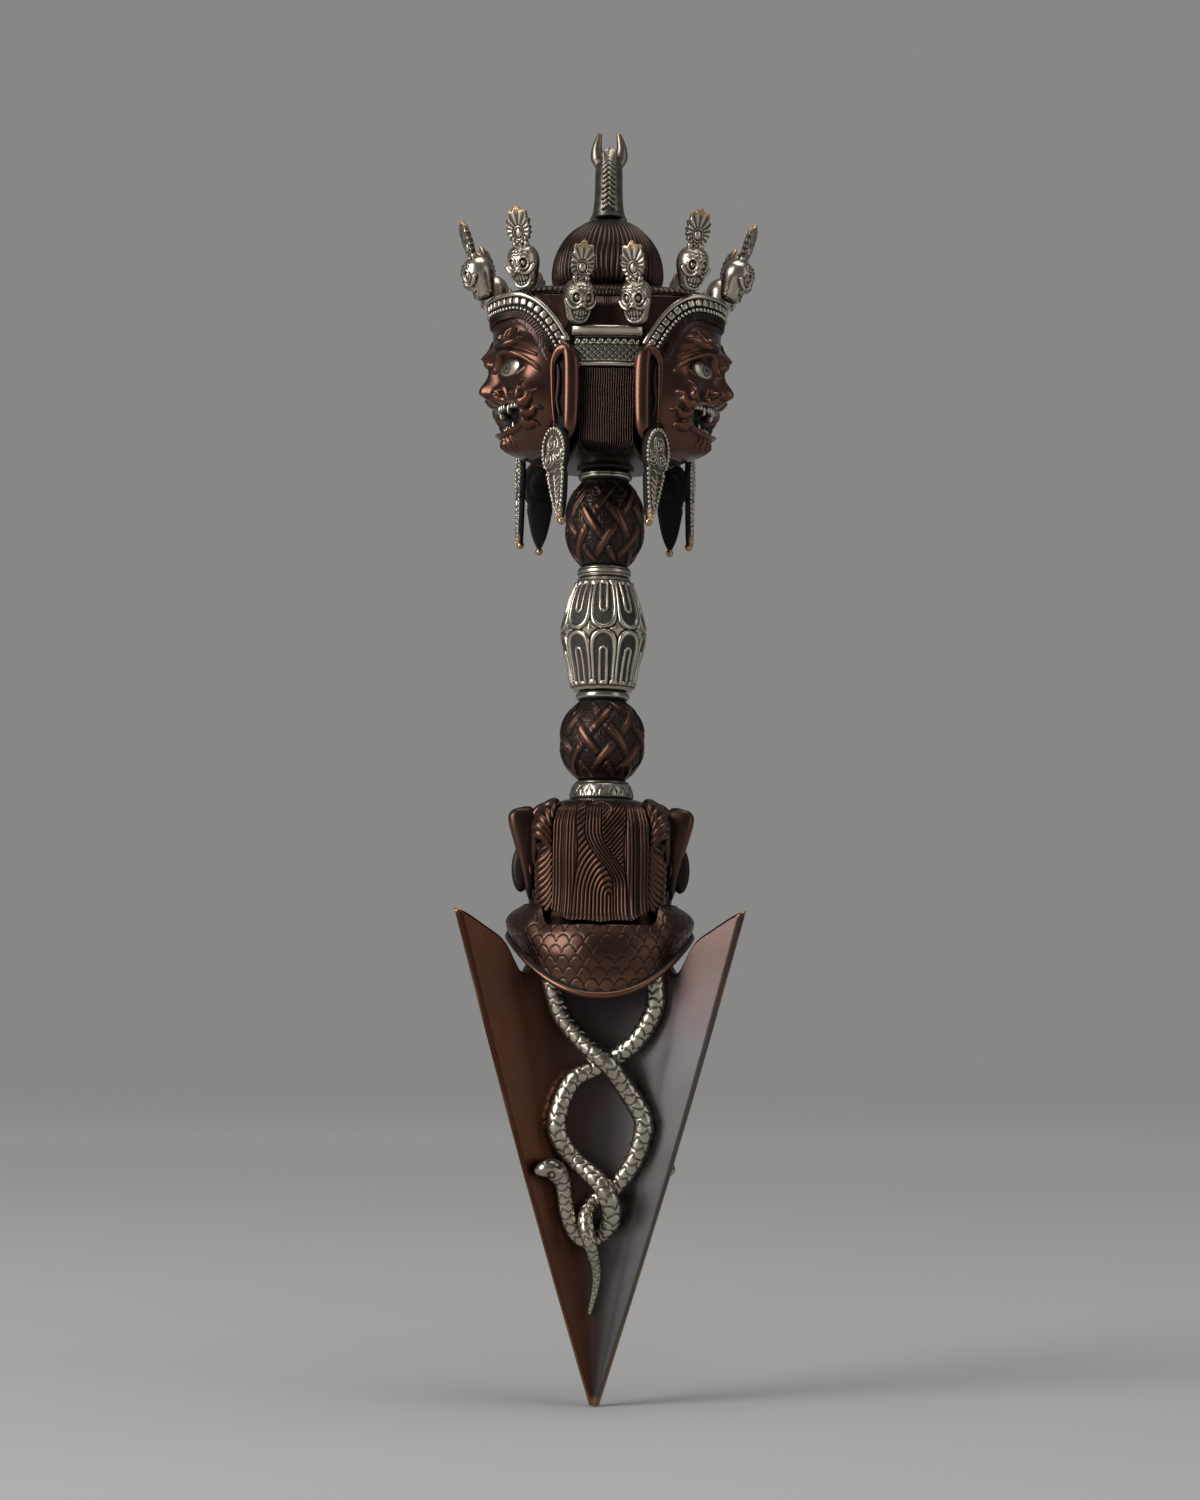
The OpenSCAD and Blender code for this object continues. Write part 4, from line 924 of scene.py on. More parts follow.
EAR_TALL, EAR_LOBE_W, EAR_LOBE_H = 25.4, 2.6, 6.4
EAR_REACH = [(0, 0.3), (3, 0.9), (6, 1.6), (9, 2.3), (13, 3.3), (17, 4.5), (21, 5.7), (23.4, 6.1),
             (24.7, 5.5), (EAR_TALL, 3.6)]


def oval(half_u, half_v):
    """Reach of an oval by angle."""
    return lambda q: half_u * half_v / np.hypot(half_v * np.cos(q), half_u * np.sin(q))


def make_makara_ears():
    """Cupped ears that flare towards their tops, with a smooth back and a small lobe in front."""
    skin = Skin()
    t = np.concatenate([np.linspace(0, 0.9, 70), 1 - 0.1 * (1 - np.linspace(0, 1, 22)[1:]) ** 2])[:, None]
    spin = circle(72)
    c, s = np.cos(spin), np.sin(spin)
    reach = along(EAR_REACH, t * EAR_TALL)
    inner = mix(-1.2, -3.0, ease(t * 1.4))
    close = np.sqrt(np.clip(1 - t ** 14, 0.001, 1)) * np.sqrt(np.clip(t * 8, 0.01, 1))
    out = (reach + inner) / 2 + (reach - inner) / 2 * np.sign(c) * np.abs(c) ** 0.7 * close
    across = mix(1.6, 2.6, t) * close * np.sign(s) * np.abs(s) ** 0.8
    hollow = 2.4 * np.sin(np.pi * np.clip((out + 0.5) / (reach + 0.6), 0, 1)) * ease(s * 2)
    hollow = np.where(s > 0, hollow, 0) * ease(t * 3)
    across = across - hollow * close
    relief = np.clip(0.66 + 0.3 * ease((out / reach - 0.72) / 0.2) - 0.5 * ease(hollow / 1.2), 0.06, 1)
    relief = relief * mix(0.4, 1, ease((out + 0.5) / 1.2)) + 0 * t
    round_top = [(math.cos(q), 1.2 * math.sin(q)) for q in np.linspace(0, 1.53, 12)]
    lobe = boss(oval(EAR_LOBE_W, EAR_LOBE_H), [(0.6, -1.5), (0.95, -0.8)] + round_top)
    lobe_relief = np.array([0.3, 0.4] + [0.5] * 3 + [0.66] * 9)[:, None]
    for side in (-1, 1):
        ear = np.stack([side * (across + 0.4), -out, t * EAR_TALL + 0 * spin], -1)
        set_lobe = np.stack([side * (lobe[..., 2] * 0.9 + 1.4), -lobe[..., 0] - 1.8, lobe[..., 1] + 8.4], -1)
        for part, mark in ((ear, relief), (set_lobe, lobe_relief)):
            placed = turned(part + [0, -20, MAKARA_Z + MAKARA_H * 0.29], side * 78)
            skin.rings(placed, relief=mark, wear=np.clip(mark - 0.8, 0, 1) * 2)
    skin.piece("makara_ears_rimmed", DARK_COPPER, ["makara_ears"])


TRUNK = [(0, 32.4, 9), (0, 35.4, 10), (0, 38.6, 13.4), (0, 39, 18), (0, 36.6, 21.4), (0, 33.2, 21.4),
         (0, 32, 18.6)]
TRUNK_R = list(enumerate((4.6, 4.2, 3.6, 3.1, 2.6, 2.1, 1.4)))
MAKARA_EYE_R, MAKARA_EYE_OUT, FANG_L, FANG_OUT = 2.4, 25.7, 7, 24.1


def make_makara_front():
    """Trunk with wrinkles, bulging eyes and fangs, all on the side away from the camera."""
    path = smooth_path(np.array(TRUNK) + [0, 0, MAKARA_Z], 12)
    t = np.linspace(0, 6, len(path))
    height = np.abs(np.cos(t[:, None] * 3.6 + 0.3 * np.cos(circle(48)))) ** 0.5
    grid = tube_grid(path, along(TRUNK_R, t)[:, None] + (height - 0.8) * 0.4, 48, (1, 0, 0))
    Skin().rings(grid, relief=0.3 + 0.6 * height, wear=0.4 * height).piece(
        "makara_trunk_wrinkled", DARK_COPPER, ["makara_trunk"])
    eyes, fangs = Skin(), Skin()
    down, spin = rising(0.02, np.pi - 0.02, 40), circle(56)
    ball = MAKARA_EYE_R * np.stack([np.sin(down) * np.cos(spin), -np.cos(down) + 0 * spin,
                                    np.sin(down) * np.sin(spin)], -1)
    iris = np.degrees(down) + 0 * spin
    relief = np.clip(0.95 - bell(iris - 34, 3.5) - bell(iris, 9), 0, 1)
    for a in (140, 220):
        eyes.rings(turned(ball + [0, -MAKARA_EYE_OUT, MAKARA_Z + MAKARA_H * 0.56], a), relief=relief)
    tooth, spin = rising(0, 1, 16), spin[::3]
    thick = mix(1.5, 0.25, tooth ** 1.3)
    horn = np.stack([thick * np.cos(spin), thick * np.sin(spin) - 1.2 * tooth ** 2,
                     -FANG_L * tooth + 0 * spin], -1)
    for a in (128, 146, 214, 232):
        fang = turned(tipped(horn, -8) + [0, -FANG_OUT, MAKARA_Z + 3], a)
        fangs.rings(fang, relief=mix(0.3, 1, tooth) + 0 * spin)
    eyes.piece("makara_eyes_engraved", SILVER, ["makara_eyes"])
    fangs.piece("makara_fangs_curved", SILVER, ["makara_fangs"])


# Grip: collar, rings, knots and baluster round the rod

COLLAR_Z, COLLAR_H = MAKARA_Z + MAKARA_H, 5.4
LOWER_KNOT_Z, LOWER_KNOT_H, LOWER_KNOT_R = COLLAR_Z + COLLAR_H, 21.9, 11.9
LOWER_RING_Z, LOWER_RING_H = LOWER_KNOT_Z + LOWER_KNOT_H, 2.5
BALUSTER_Z, BALUSTER_H, BALUSTER_R = LOWER_RING_Z + LOWER_RING_H, 31.2, 11.6
UPPER_RING_Z, UPPER_RING_H = BALUSTER_Z + BALUSTER_H, 3.4
UPPER_KNOT_Z, UPPER_KNOT_H, UPPER_KNOT_R = UPPER_RING_Z + UPPER_RING_H, 23.8, 11.2
NECK_RING_Z, NECK_RING_H = UPPER_KNOT_Z + UPPER_KNOT_H, 2.6
HEAD_Z = NECK_RING_Z + NECK_RING_H
RING_R, ROD_R = 7.4, 2.55


def turned_skin(name, base_z, r, z, height, relief, finish, takes, wear=None):
    """A turned piece whose surface is r by z, with chased heights on it, bored for the rod."""
    columns = relief.shape[1]
    a = full_turn(columns)
    bore = [polar(a, ROD_R, base_z + level + 0 * a) for level in (z[0], z[-1])]
    grid = np.concatenate([bore[0], polar(a, r + height, base_z + z), bore[1]])
    pad = np.full((1, columns), 0.2)
    wear = np.zeros(relief.shape) if wear is None else wear
    last = (len(grid) - 1) * columns
    faces = ring_faces(len(grid), columns)[:last]
    faces += [[last + i, last + (i + 1) % columns, (i + 1) % columns, i] for i in range(columns)]
    Skin().add(grid, faces, relief=np.concatenate([pad, relief, pad]),
               wear=np.concatenate([pad * 0, wear, pad * 0])).piece(name, finish, takes)


STRAP, KNOT_END, STRAP_CUT = 0.185, 6.4, 0.016


def make_knot(name, base_z, full_height, r):
    """A ball of crossing straps with grooved edges and a four-petalled bloom in each sunken diamond."""
    h = full_height - GAP
    b = h / 2 / math.sqrt(1 - (KNOT_END / r) ** 2)
    rows, columns = 110, 300
    z = h / 2 * np.sin(rising(-np.pi / 2, np.pi / 2, rows))
    out = r * np.sqrt(1 - (z / b) ** 2)
    u, v = full_turn(columns) / 45, np.degrees(np.arctan2(z / b, out / r)) / 52
    p, q = u + v, u - v
    even = (np.floor(p) + np.floor(q)) % 2 == 0
    dp, dq = [np.abs(x - np.floor(x) - 0.5) for x in (p, q)]
    over, under = np.where(even, dp, dq), np.where(even, dq, dp)
    on_over, on_under = over < STRAP, under < STRAP
    inset = STRAP * 0.72
    top = 1 - 0.6 * bell(over - inset, STRAP_CUT) - 0.25 * (over / STRAP) ** 4
    low = 0.85 - 0.5 * bell(under - inset, STRAP_CUT) - 0.6 * bell(over - STRAP, 0.05)
    fp, fq = p - np.round(p), q - np.round(q)
    far = np.maximum(np.abs(fp), np.abs(fq)) / (0.5 - STRAP)
    spin, away = 4 * np.arctan2(fq, fp), np.hypot(fp, fq)
    bloom = 1 - bell(away - 0.075, 0.016) - 0.9 * bell(away - 0.2 - 0.035 * np.cos(spin), 0.018)
    bloom = bloom - 0.8 * bell(np.sin(spin) * away, 0.022) * (away > 0.09) - 0.7 * bell(away - 0.31, 0.02)
    floor = np.clip(bloom * groove(far - 1, 0.16, 0.9), 0.02, 1)
    height = np.where(on_over, top, np.where(on_under, low, 0.25 + 0.2 * floor))
    rim = ease((h / 2 - np.abs(z)) / 1.2)
    relief = np.where(on_over | on_under, 0.9 * height, 0.62 * floor) * mix(0.5, 1, rim)
    wear = np.where(on_over, 0.3 + 0.25 * (1 - over / STRAP), 0) * rim
    turned_skin(name + "_straps", base_z, out, z + h / 2, (height - 0.9) * 1.1 * rim, relief,
                DARK_COPPER, [name], wear)


STAR_PITCH, BALUSTER_WAIST = 40, 16.0


def make_baluster():
    """Nine stars round the middle; between them arched borders on stippled ground, each with a loop."""
    h, r, half_pitch = BALUSTER_H - GAP, BALUSTER_R, math.radians(STAR_PITCH / 2)
    table = [(0, r * 0.7), (1, r * 0.74), (h * 0.2, r * 0.84), (h * 0.36, r * 0.95), (h * 0.46, r),
             (h * 0.56, r), (h * 0.68, r * 0.94), (h * 0.86, r * 0.8), (h - 1.2, r * 0.68), (h, r * 0.64)]
    z, a = rising(0, h, 150), full_turn(420)
    out = along(table, z)
    t = (a / STAR_PITCH + 0.5) % 1 * 2 - 1
    x, from_star = t * half_pitch * out, (1 - np.abs(t)) * half_pitch * out
    y, end = np.abs(z - BALUSTER_WAIST) + 0 * a, np.minimum(z, h - z) + 0 * a
    away = -np.log(np.exp(-0.55 * from_star) + np.exp(-0.55 * y)) / 0.55
    border = ease((away + 0.2) / 0.1) * ease((0.98 - away) / 0.15)
    star = ease((-0.36 - away) / 0.1)
    from_loop = np.abs(np.hypot(x, np.minimum(0, y - 6.0)) - 0.98)
    loop_line = ease((0.44 - from_loop) / 0.14)
    stipple = 0.1 + 0.3 * np.abs(np.sin(a * 1.7 + z * 3.1) * np.sin(a * 1.1 - z * 4.3))
    height = (0.7 * border * dome((away - 0.42) / 0.58) + star * (0.2 - 0.55 * away)
              + 0.55 * loop_line * dome(from_loop / 0.46))
    relief = np.maximum(stipple, 0.95 * np.maximum.reduce([border, star, loop_line]))
    seam = bell(from_star, 0.15) * ease((y - 1.9) / 0.6) + bell(y, 0.13) * ease((from_star - 1.9) / 0.6)
    height, relief = height - 0.4 * seam, relief * (1 - 0.97 * np.clip(seam, 0, 1))
    for beside, size in ((from_star, 1.35), (np.abs(x), 0.95)):
        q = np.hypot(beside, end - 1.3) / size
        height = np.where(q < 1, np.maximum(height, 0.25 + 0.55 * dome(q)), height)
        relief = np.where(q < 1, 0.95, relief * ease((q - 1) / 0.22 + 0.1))
    plain = ease((1.0 - end) / 0.2)
    height, relief = mix(height, 0.35, plain), mix(relief, 0.8, plain) * groove(end - 1.0, 0.16, 0.9)
    turned_skin("baluster_chased", BALUSTER_Z, out, z, height - 0.5, relief, SILVER, ["baluster"],
                0.3 * border)


ZIGZAGS = 16


def make_collar():
    """A dome with a double zigzag under an engraved ring."""
    h, low = COLLAR_H - GAP, RING_R + 1.4
    s = rising(0, np.pi / 2, 36)
    out, z = RING_R - 1 + (low - RING_R + 1) * np.cos(s), h * np.sin(s)
    zig, share = np.abs((full_turn(256) * ZIGZAGS / 360) % 1 - 0.5) * 2, z / h
    relief = 0.85 - 0.6 * bell(share - 0.18 - 0.5 * zig, 0.04) - 0.5 * bell(share - 0.06 - 0.5 * zig, 0.03)
    relief = relief - 0.7 * bell(share - 0.85, 0.04) - 1.2 * bell(share, 0.08)
    relief = np.clip(relief - 0.4 * bell(zig - 0.5, 0.06) * (share < 0.45), 0, 1)
    turned_skin("grip_collar_engraved", COLLAR_Z, out, z, (relief - 0.85) * 0.35, relief, SILVER,
                ["grip_collar"], 0.3 * relief)


def make_ring(name, base_z, height, grooves):
    h = height - GAP
    z, a = rising(0, h, 22), full_turn(120)
    out = RING_R - 0.8 * np.abs(2 * z / h - 1) ** 3 + 0 * a
    relief = np.full(out.shape, 0.85)
    for share in grooves:
        relief = relief - 0.85 * bell(z / h - share, 0.05)
    relief = relief * mix(0.3, 1, ease(np.minimum(z, h - z) / 0.5))
    turned_skin(name + "_bright", base_z, out, z, (relief - 0.85) * 0.2, relief, SILVER, [name])


make_makara_head()
make_makara_jaw()
make_mane()
make_makara_locks()
make_makara_ears()
make_makara_front()
make_collar()
make_knot("lower_knot", LOWER_KNOT_Z, LOWER_KNOT_H, LOWER_KNOT_R)
make_ring("lower_ring", LOWER_RING_Z, LOWER_RING_H, ())
make_baluster()
make_ring("upper_ring", UPPER_RING_Z, UPPER_RING_H, (0.3, 0.7))
make_knot("upper_knot", UPPER_KNOT_Z, UPPER_KNOT_H, UPPER_KNOT_R)
make_ring("neck_ring", NECK_RING_Z, NECK_RING_H, (0.5,))


# Heads

FACE_K, FACE_TALL, FACE_HALF, FACE_DEPTH, HEAD_OFFSET = 1.06, 40, 16.6, 17.6, 14.0
CHIN_Z = HEAD_Z + 2.4
HAIRLINE_Z = CHIN_Z + FACE_TALL * FACE_K
# Name, turn, step outwards, and which of the two ears stands beside the nape, where it is deeper
HEADS = (("left", -75, 0.0, (False, True)), ("right", 75, 0.0, (True, False)),
         ("main", 180, 4.0, (False, False)))
PER_DEGREE = 0.3
AHEAD = [(0, 0.5), (0.03, 0.66), (0.08, 0.76), (0.16, 0.82), (0.25, 0.86), (0.36, 0.92), (0.48, 0.98),
         (0.6, 1), (0.8, 1.02), (1, 1.02)]
SIDE = [(0, 0.42), (0.03, 0.6), (0.08, 0.72), (0.16, 0.84), (0.25, 0.92), (0.36, 0.98), (0.5, 1.02),
        (0.7, 1.03), (0.85, 1.01), (1, 1)]
BAND_TURN, BAND_Z, BAND_DROP, BAND_WIDTH = 78, 37.8, 12, 6.6


def head_r(a, k):
    a = np.radians(a)
    f, w = FACE_DEPTH * along(AHEAD, k), FACE_HALF * along(SIDE, k)
    return 1 / np.sqrt((np.cos(a) / f) ** 2 + (np.sin(a) / w) ** 2)


def on_head(a, r, z, step):
    """Points round a head's own middle, z in the face's units over the chin."""
    return polar(a, r, CHIN_Z + z * FACE_K) - [0, HEAD_OFFSET + step, 0]


# Rise, turn, width in turn, level, reach above and below it
FEATURES = (
    (5.2, 0, 8.5, 16.2, 3.6, 1.9), (1.4, 0, 7, 22, 4, 4), (2.7, 13.5, 5.5, 15.4, 1.9, 1.9),  # nose
    (2.5, 0, 10, 25.4, 2.3, 2.3), (1, 40, 12, 28, 2, 2),  # brows
    (-2.5, 27, 13, 22.3, 2.2, 2.2), (1.5, 27, 9, 22.2, 1.6, 1.6),  # eyes
    (2.3, 41, 13, 14.8, 3.9, 3.9), (0.8, 54, 14, 12, 6, 6), (1, 42, 6, 9, 4.5, 4.5),  # cheeks
    (1.6, 0, 24, 12.6, 1.1, 1.1), (1.9, 0, 22, 6, 1.2, 1.2), (2.2, 0, 15, 2.6, 1.8, 1.8))  # mouth and chin


def face_form(a, z):
    """Nose, brows, sockets, cheeks, mouth and chin, as heights over the head."""
    s = np.abs(a)
    form = 2.6 * bell(s - 24, 17) * skew_bell(z - 25.6 - s * 0.05, 2.2, 1.3)
    for rise, turn, wide, level, above, below in FEATURES:
        form = form + rise * bell(s - turn, wide) * skew_bell(z - level, above, below)
    return form


MOUTH_Z, MOUTH_X, MOUTH_TALL, MOUTH_BOW, MOUTH_POWER = 9.6, 12.0, 3.75, 0.01, 2.2


def mouth_share(x, z):
    """0 in the middle of the open mouth, 1 at the lips."""
    bowed = (z - MOUTH_Z - MOUTH_BOW * x * x) / MOUTH_TALL
    return (np.abs(x / MOUTH_X) ** MOUTH_POWER + np.abs(bowed) ** MOUTH_POWER) ** (1 / MOUTH_POWER)


def face_drawing(a, z):
    """Brows, lids, nostrils, lips, and the flames of cheeks, brows and beard."""
    d = Drawing(a * PER_DEGREE, z, 0.72)
    for path, wide, rise, far in (
            ([[2.4, 22.2], [4.4, 24.6], [8.0, 25.4], [12.0, 24.4], [15.6, 22.4], [17.6, 20.6]],
             0.95, 0.95, 0.4),
            ([[1.2, 25.8], [4.4, 26.7], [8.6, 27.0], [12.6, 26.2], [16.8, 24.4]], 0.6, 0.5, 0.3),
            ([[3.6, 20.9], [6.4, 19.8], [9.6, 19.9], [12.8, 21.4]], 0.5, 0.45, 0.25),
            ([[0.6, 23.6], [1.9, 23.2], [3.0, 21.9]], 0.6, 0.5, 0.3),
            (curl(4.1, 15.1, 1.5, 100, -0.8), 0.5, 0.6, 0.4)):
        d.pair(path, wide, rise, far)
    d.line(loop(0, MOUTH_Z + 0.35, MOUTH_X + 0.3, MOUTH_TALL + 0.45, 0.85, 40), 0.85, 0.95)
    for flame in (((11.4, 12.8), (12.6, 14.6), (12.4, 16.4), (13.4, 18.0)),
                  ((12.6, 11.4), (14.8, 12.8), (15.4, 14.4), (17.2, 15.2)),
                  ((12.9, 9.4), (15.4, 9.8), (16.6, 10.9), (18.4, 10.6)),
                  ((12.6, 7.4), (14.6, 7.0), (15.8, 7.4), (17.2, 6.6))):
        d.pair(flame, 1.5, 1.3, 0.25)
    for flame in (((6.2, 27.8), (4.6, 28.8), (4.0, 30.0), (4.6, 31.0)),
                  ((7.2, 28.0), (6.8, 29.8), (7.6, 31.2), (8.4, 31.9)),
                  ((8.6, 27.9), (9.6, 29.4), (10.6, 30.4), (11.0, 31.6)),
                  ((9.6, 27.4), (11.6, 28.0), (12.8, 28.8), (14.2, 29.2))):
        d.pair(flame, 1.15, 1.1, 0.2)
    for x in (1.0, 3.0, 5.0):
        d.pair([[x, 4.3], [x + 0.7, 3.1], [x - 0.1, 1.9], [x + 0.5, 0.7]], 0.75, 0.7, 0.3)
    return d


def hairline(a, z):
    """Signed distance in millimetres below the hair that shows under a crown band."""
    turns = np.linspace(-BAND_TURN, BAND_TURN, 53)
    path = np.stack([turns * PER_DEGREE, band_height(turns) * FACE_K], 1)
    away, _ = nearest(a * PER_DEGREE + 0 * z, z * FACE_K + 0 * a, path)
    return np.where(z > band_height(a), -away, away) - 5.0


FACE_TURN = 95


def make_face(name, turn, step, ears):
    columns, rows = 192, 160
    a, z = sweep(-FACE_TURN, FACE_TURN, columns), rising(0, FACE_TALL, rows)
    d, x = face_drawing(a, z), a * PER_DEGREE
    share = mouth_share(x, z)
    opened = ease((1.02 - share) / 0.14)
    tongue = 1.7 * bell(x, 4.2) * bell(z - MOUTH_Z + 1.0, 1.2)
    nostrils = bell(np.hypot(np.abs(x) - 2.3, (z - 13.9) * 0.9), 0.75)
    under = hairline(a, z)
    hair = ease(-under / 0.25) * ease((z - 22) / 2)
    comb = strands(a / 2.3 + 0.25 * np.sin(z * 1.2), 0.5)
    form = face_form(a, z)
    r = head_r(a, z / FACE_TALL) + form * (1 - hair * 0.3)
    smooth_edges = ease((93 - np.abs(a)) / 5) * ease((z - 0.2) / 1.2)
    r = r + (d.height * (1 - opened) * (1 - hair) - 3.6 * opened + tongue * opened - 1.2 * nostrils
             + hair * (0.35 * comb - 0.1) - 0.45 * bell(under, 0.22) * hair) * smooth_edges
    relief = mix(d.relief, 0.12 + 0.5 * tongue / 1.7, ease((1.0 - share) / 0.12))
    relief = relief * (1 - 0.95 * ease(nostrils * 2 - 0.4))
    relief = relief * (1 - 0.9 * bell(under, 0.28) * ease((z - 22) / 2))
    relief = mix(relief, 0.1 + 0.45 * comb, hair)
    relief = relief * mix(0.25, 1, ease((91 - np.abs(a)) / 9))
    worn = np.clip(form / 6, 0, 1) * 0.6 * (1 - hair)
    Skin().rings(turned(on_head(a, r, z, step), turn), relief=relief, wear=worn).piece(
        f"face_{name}_chased", COPPER, [f"face_{name}"])
    make_eyes(name, turn, step)
    make_teeth(name, turn, step)
    make_ears(name, turn, step, ears)


def face_place(a, z, out, step):
    """A place on a face, with the directions across, up and outward there."""
    r = head_r(a, z / FACE_TALL) + face_form(a, z) + out
    c, s = cos_sin(a)
    return on_head(a, r, z, step), (c, s, 0), (0, 0, 1), (s, -c, 0)


EYE_TURN, EYE_LEVEL, EYE_TILT, EYE_HALF, EYE_TALL = 25, 21.9, 6, 4.4, 2.5


def make_eyes(name, turn, step):
    skin = Skin()
    rows = [(1, -1.8)] + [(q, 1.5 * math.sqrt(1 - 0.92 * q * q) - 0.4) for q in np.linspace(1, 0.02, 22)]
    at_rim = np.array(rows)[:, :1] > 0.94
    for side in (-1, 1):
        grid = boss(oval(EYE_HALF, EYE_TALL), rows)
        away = np.hypot(grid[..., 0] + side * 0.25, grid[..., 1])
        relief = 0.95 - 0.9 * bell(away - 1.45, 0.18) - bell(away, 0.6)
        relief = np.clip(np.where(at_rim, 0.25, relief), 0, 1)
        grid = set_on(turned(grid, side * EYE_TILT), *face_place(side * EYE_TURN, EYE_LEVEL, 0.2, step))
        skin.rings(turned(grid, turn), relief=relief)
    skin.piece(f"eyes_{name}_engraved", SILVER, [f"eyes_{name}"])


TOOTH_PITCH, TOOTH_HALF = 1.62, 0.74


def make_teeth(name, turn, step):
    """Thirteen teeth in each jaw, of which the fourth from the middle on each side is a fang."""
    skin = Skin()
    rows = [(1, -1.4), (1, -0.4), (0.93, 0.3), (0.75, 0.62), (0.4, 0.78), (0.04, 0.8)]
    dark = np.array([0.2, 0.35, 0.75, 0.95, 1, 1])[:, None]
    for jaw in (-1, 1):
        for i in range(-6, 7):
            x, fang = i * TOOTH_PITCH, abs(i) == 3
            tall = 1.6 if fang else 1.0 - 0.04 * abs(i)
            edge = MOUTH_TALL * (1 - abs(x / MOUTH_X) ** MOUTH_POWER) ** (1 / MOUTH_POWER) - tall * 0.8
            z = MOUTH_Z + MOUTH_BOW * x * x + jaw * edge

            def outline(s, tall=tall):
                squarish = np.abs(np.cos(s) * tall) ** 3.2 + np.abs(np.sin(s) * TOOTH_HALF) ** 3.2
                return TOOTH_HALF * tall / squarish ** (1 / 3.2)

            grid = boss(outline, rows, 28)
            if fang:
                grid[..., 0] *= 0.55 + 0.45 * np.clip(jaw * grid[..., 1] / tall + 0.6, 0, 1)
            place = face_place(x / PER_DEGREE, z, -1.6 - 0.05 * abs(i) + 0.25 * fang, step)
            skin.rings(turned(set_on(grid, *place), turn), relief=dark + 0 * grid[..., 0])
    skin.piece(f"teeth_{name}_set", SILVER, [f"teeth_{name}"])


# Across, up, out and radius along an ear's rim and the fold inside it
EAR_RIM = [(-2.5, -9.0, 1.3, 0.35), (-2.9, -4.0, 1.0, 0.6), (-3.1, 3.0, 0.9, 0.75), (-3.0, 7.6, 1.2, 0.95),
           (-1.9, 10.3, 2.1, 1.3), (-0.2, 11.2, 3.0, 1.65), (1.0, 9.8, 3.6, 2.0), (1.5, 6.5, 4.0, 2.2),
           (1.6, 0, 4.1, 2.2), (1.5, -7, 4.0, 2.1), (1.2, -11.0, 3.5, 1.8), (0.2, -12.3, 2.6, 1.3),
           (-0.9, -11.8, 1.8, 0.7)]
EAR_FOLD = [(-2.0, 7.2, 1.2, 0.35), (-1.5, 4.5, 1.4, 0.5), (-1.6, 0.5, 1.4, 0.6), (-1.9, -3.0, 1.3, 0.5),
            (-1.2, -7.0, 1.6, 0.35)]
EAR_TURN, EAR_LEVEL = 82, 15.0


def make_ears(name, turn, step, ears):
    """Long ears: a thick rim arched over to a straight bar behind, with a folded hollow inside it."""
    angle = circle(24)
    flat = 0.62 / np.hypot(0.62 * np.cos(angle), np.sin(angle))
    c, s = cos_sin(EAR_TURN)
    skin = Skin()
    for side, at_nape in zip((-1, 1), ears):
        k = 1.0 if at_nape else 0.72
        place = on_head(side * EAR_TURN, FACE_HALF, EAR_LEVEL, step)
        axes = (side * c, s, 0), (0, 0, 1), (side * s, -c, 0)
        for line, shade in ((EAR_RIM, 0.75), (EAR_FOLD, 0.35)):
            path = smooth_path(line, 6)
            tube = tube_grid(path[:, :3] * [1, 1, k], path[:, 3], 24, (0, 0.1, 1), flat)
            skin.rings(turned(set_on(tube, place, *axes), turn), relief=shade, wear=0.25 * shade)
        v, u = rising(-12.8, 11.2, 36), sweep(-1, 1, 24)
        x = u * 2.9 * np.clip(1 - np.abs((v + 0.8) / 12.6) ** 6, 0.02, 1) ** 0.5
        front = mix(0.6, 3.5, (u + 1) / 2) * k - 0.5 * (1 - u * u)
        plate = np.concatenate([np.stack([x, v + 0 * x, front + 0 * x], -1),
                                sparse(np.stack([x * 0.8 - 0.5, v + 0 * x, -2.5 + 0 * x], -1))], 1)
        relief = folded(mix(0.1, 0.5, np.abs(u) ** 3) + 0 * x, 0.2)
        skin.rings(turned(set_on(plate, place, *axes), turn), relief=relief)
    skin.piece(f"ears_{name}_rimmed", COPPER)


# Core behind the faces, combed hair at the nape and its band

NAPE_Y, NAPE_BAND_Z, PANEL_HALF = 19.4, CHIN_Z + 21.1 * FACE_K, 7.5
CORE_SEAT = HEAD_OFFSET + FACE_HALF * cos_sin(FACE_TURN)[0] - 0.35


def core_r(a):
    """Distance from the axis to the core's outline."""
    r = np.full(np.shape(a), 40.0)
    for turn, seat in [(turn, CORE_SEAT + step) for _, turn, step, _ in HEADS] + [(0, NAPE_Y)]:
        c = np.cos(np.radians(a - turn))
        r = np.where(c > 0.05, np.minimum(r, seat / np.maximum(c, 0.05)), r)
    return r


DISH_R, DISH_RISE = 26, 5.2


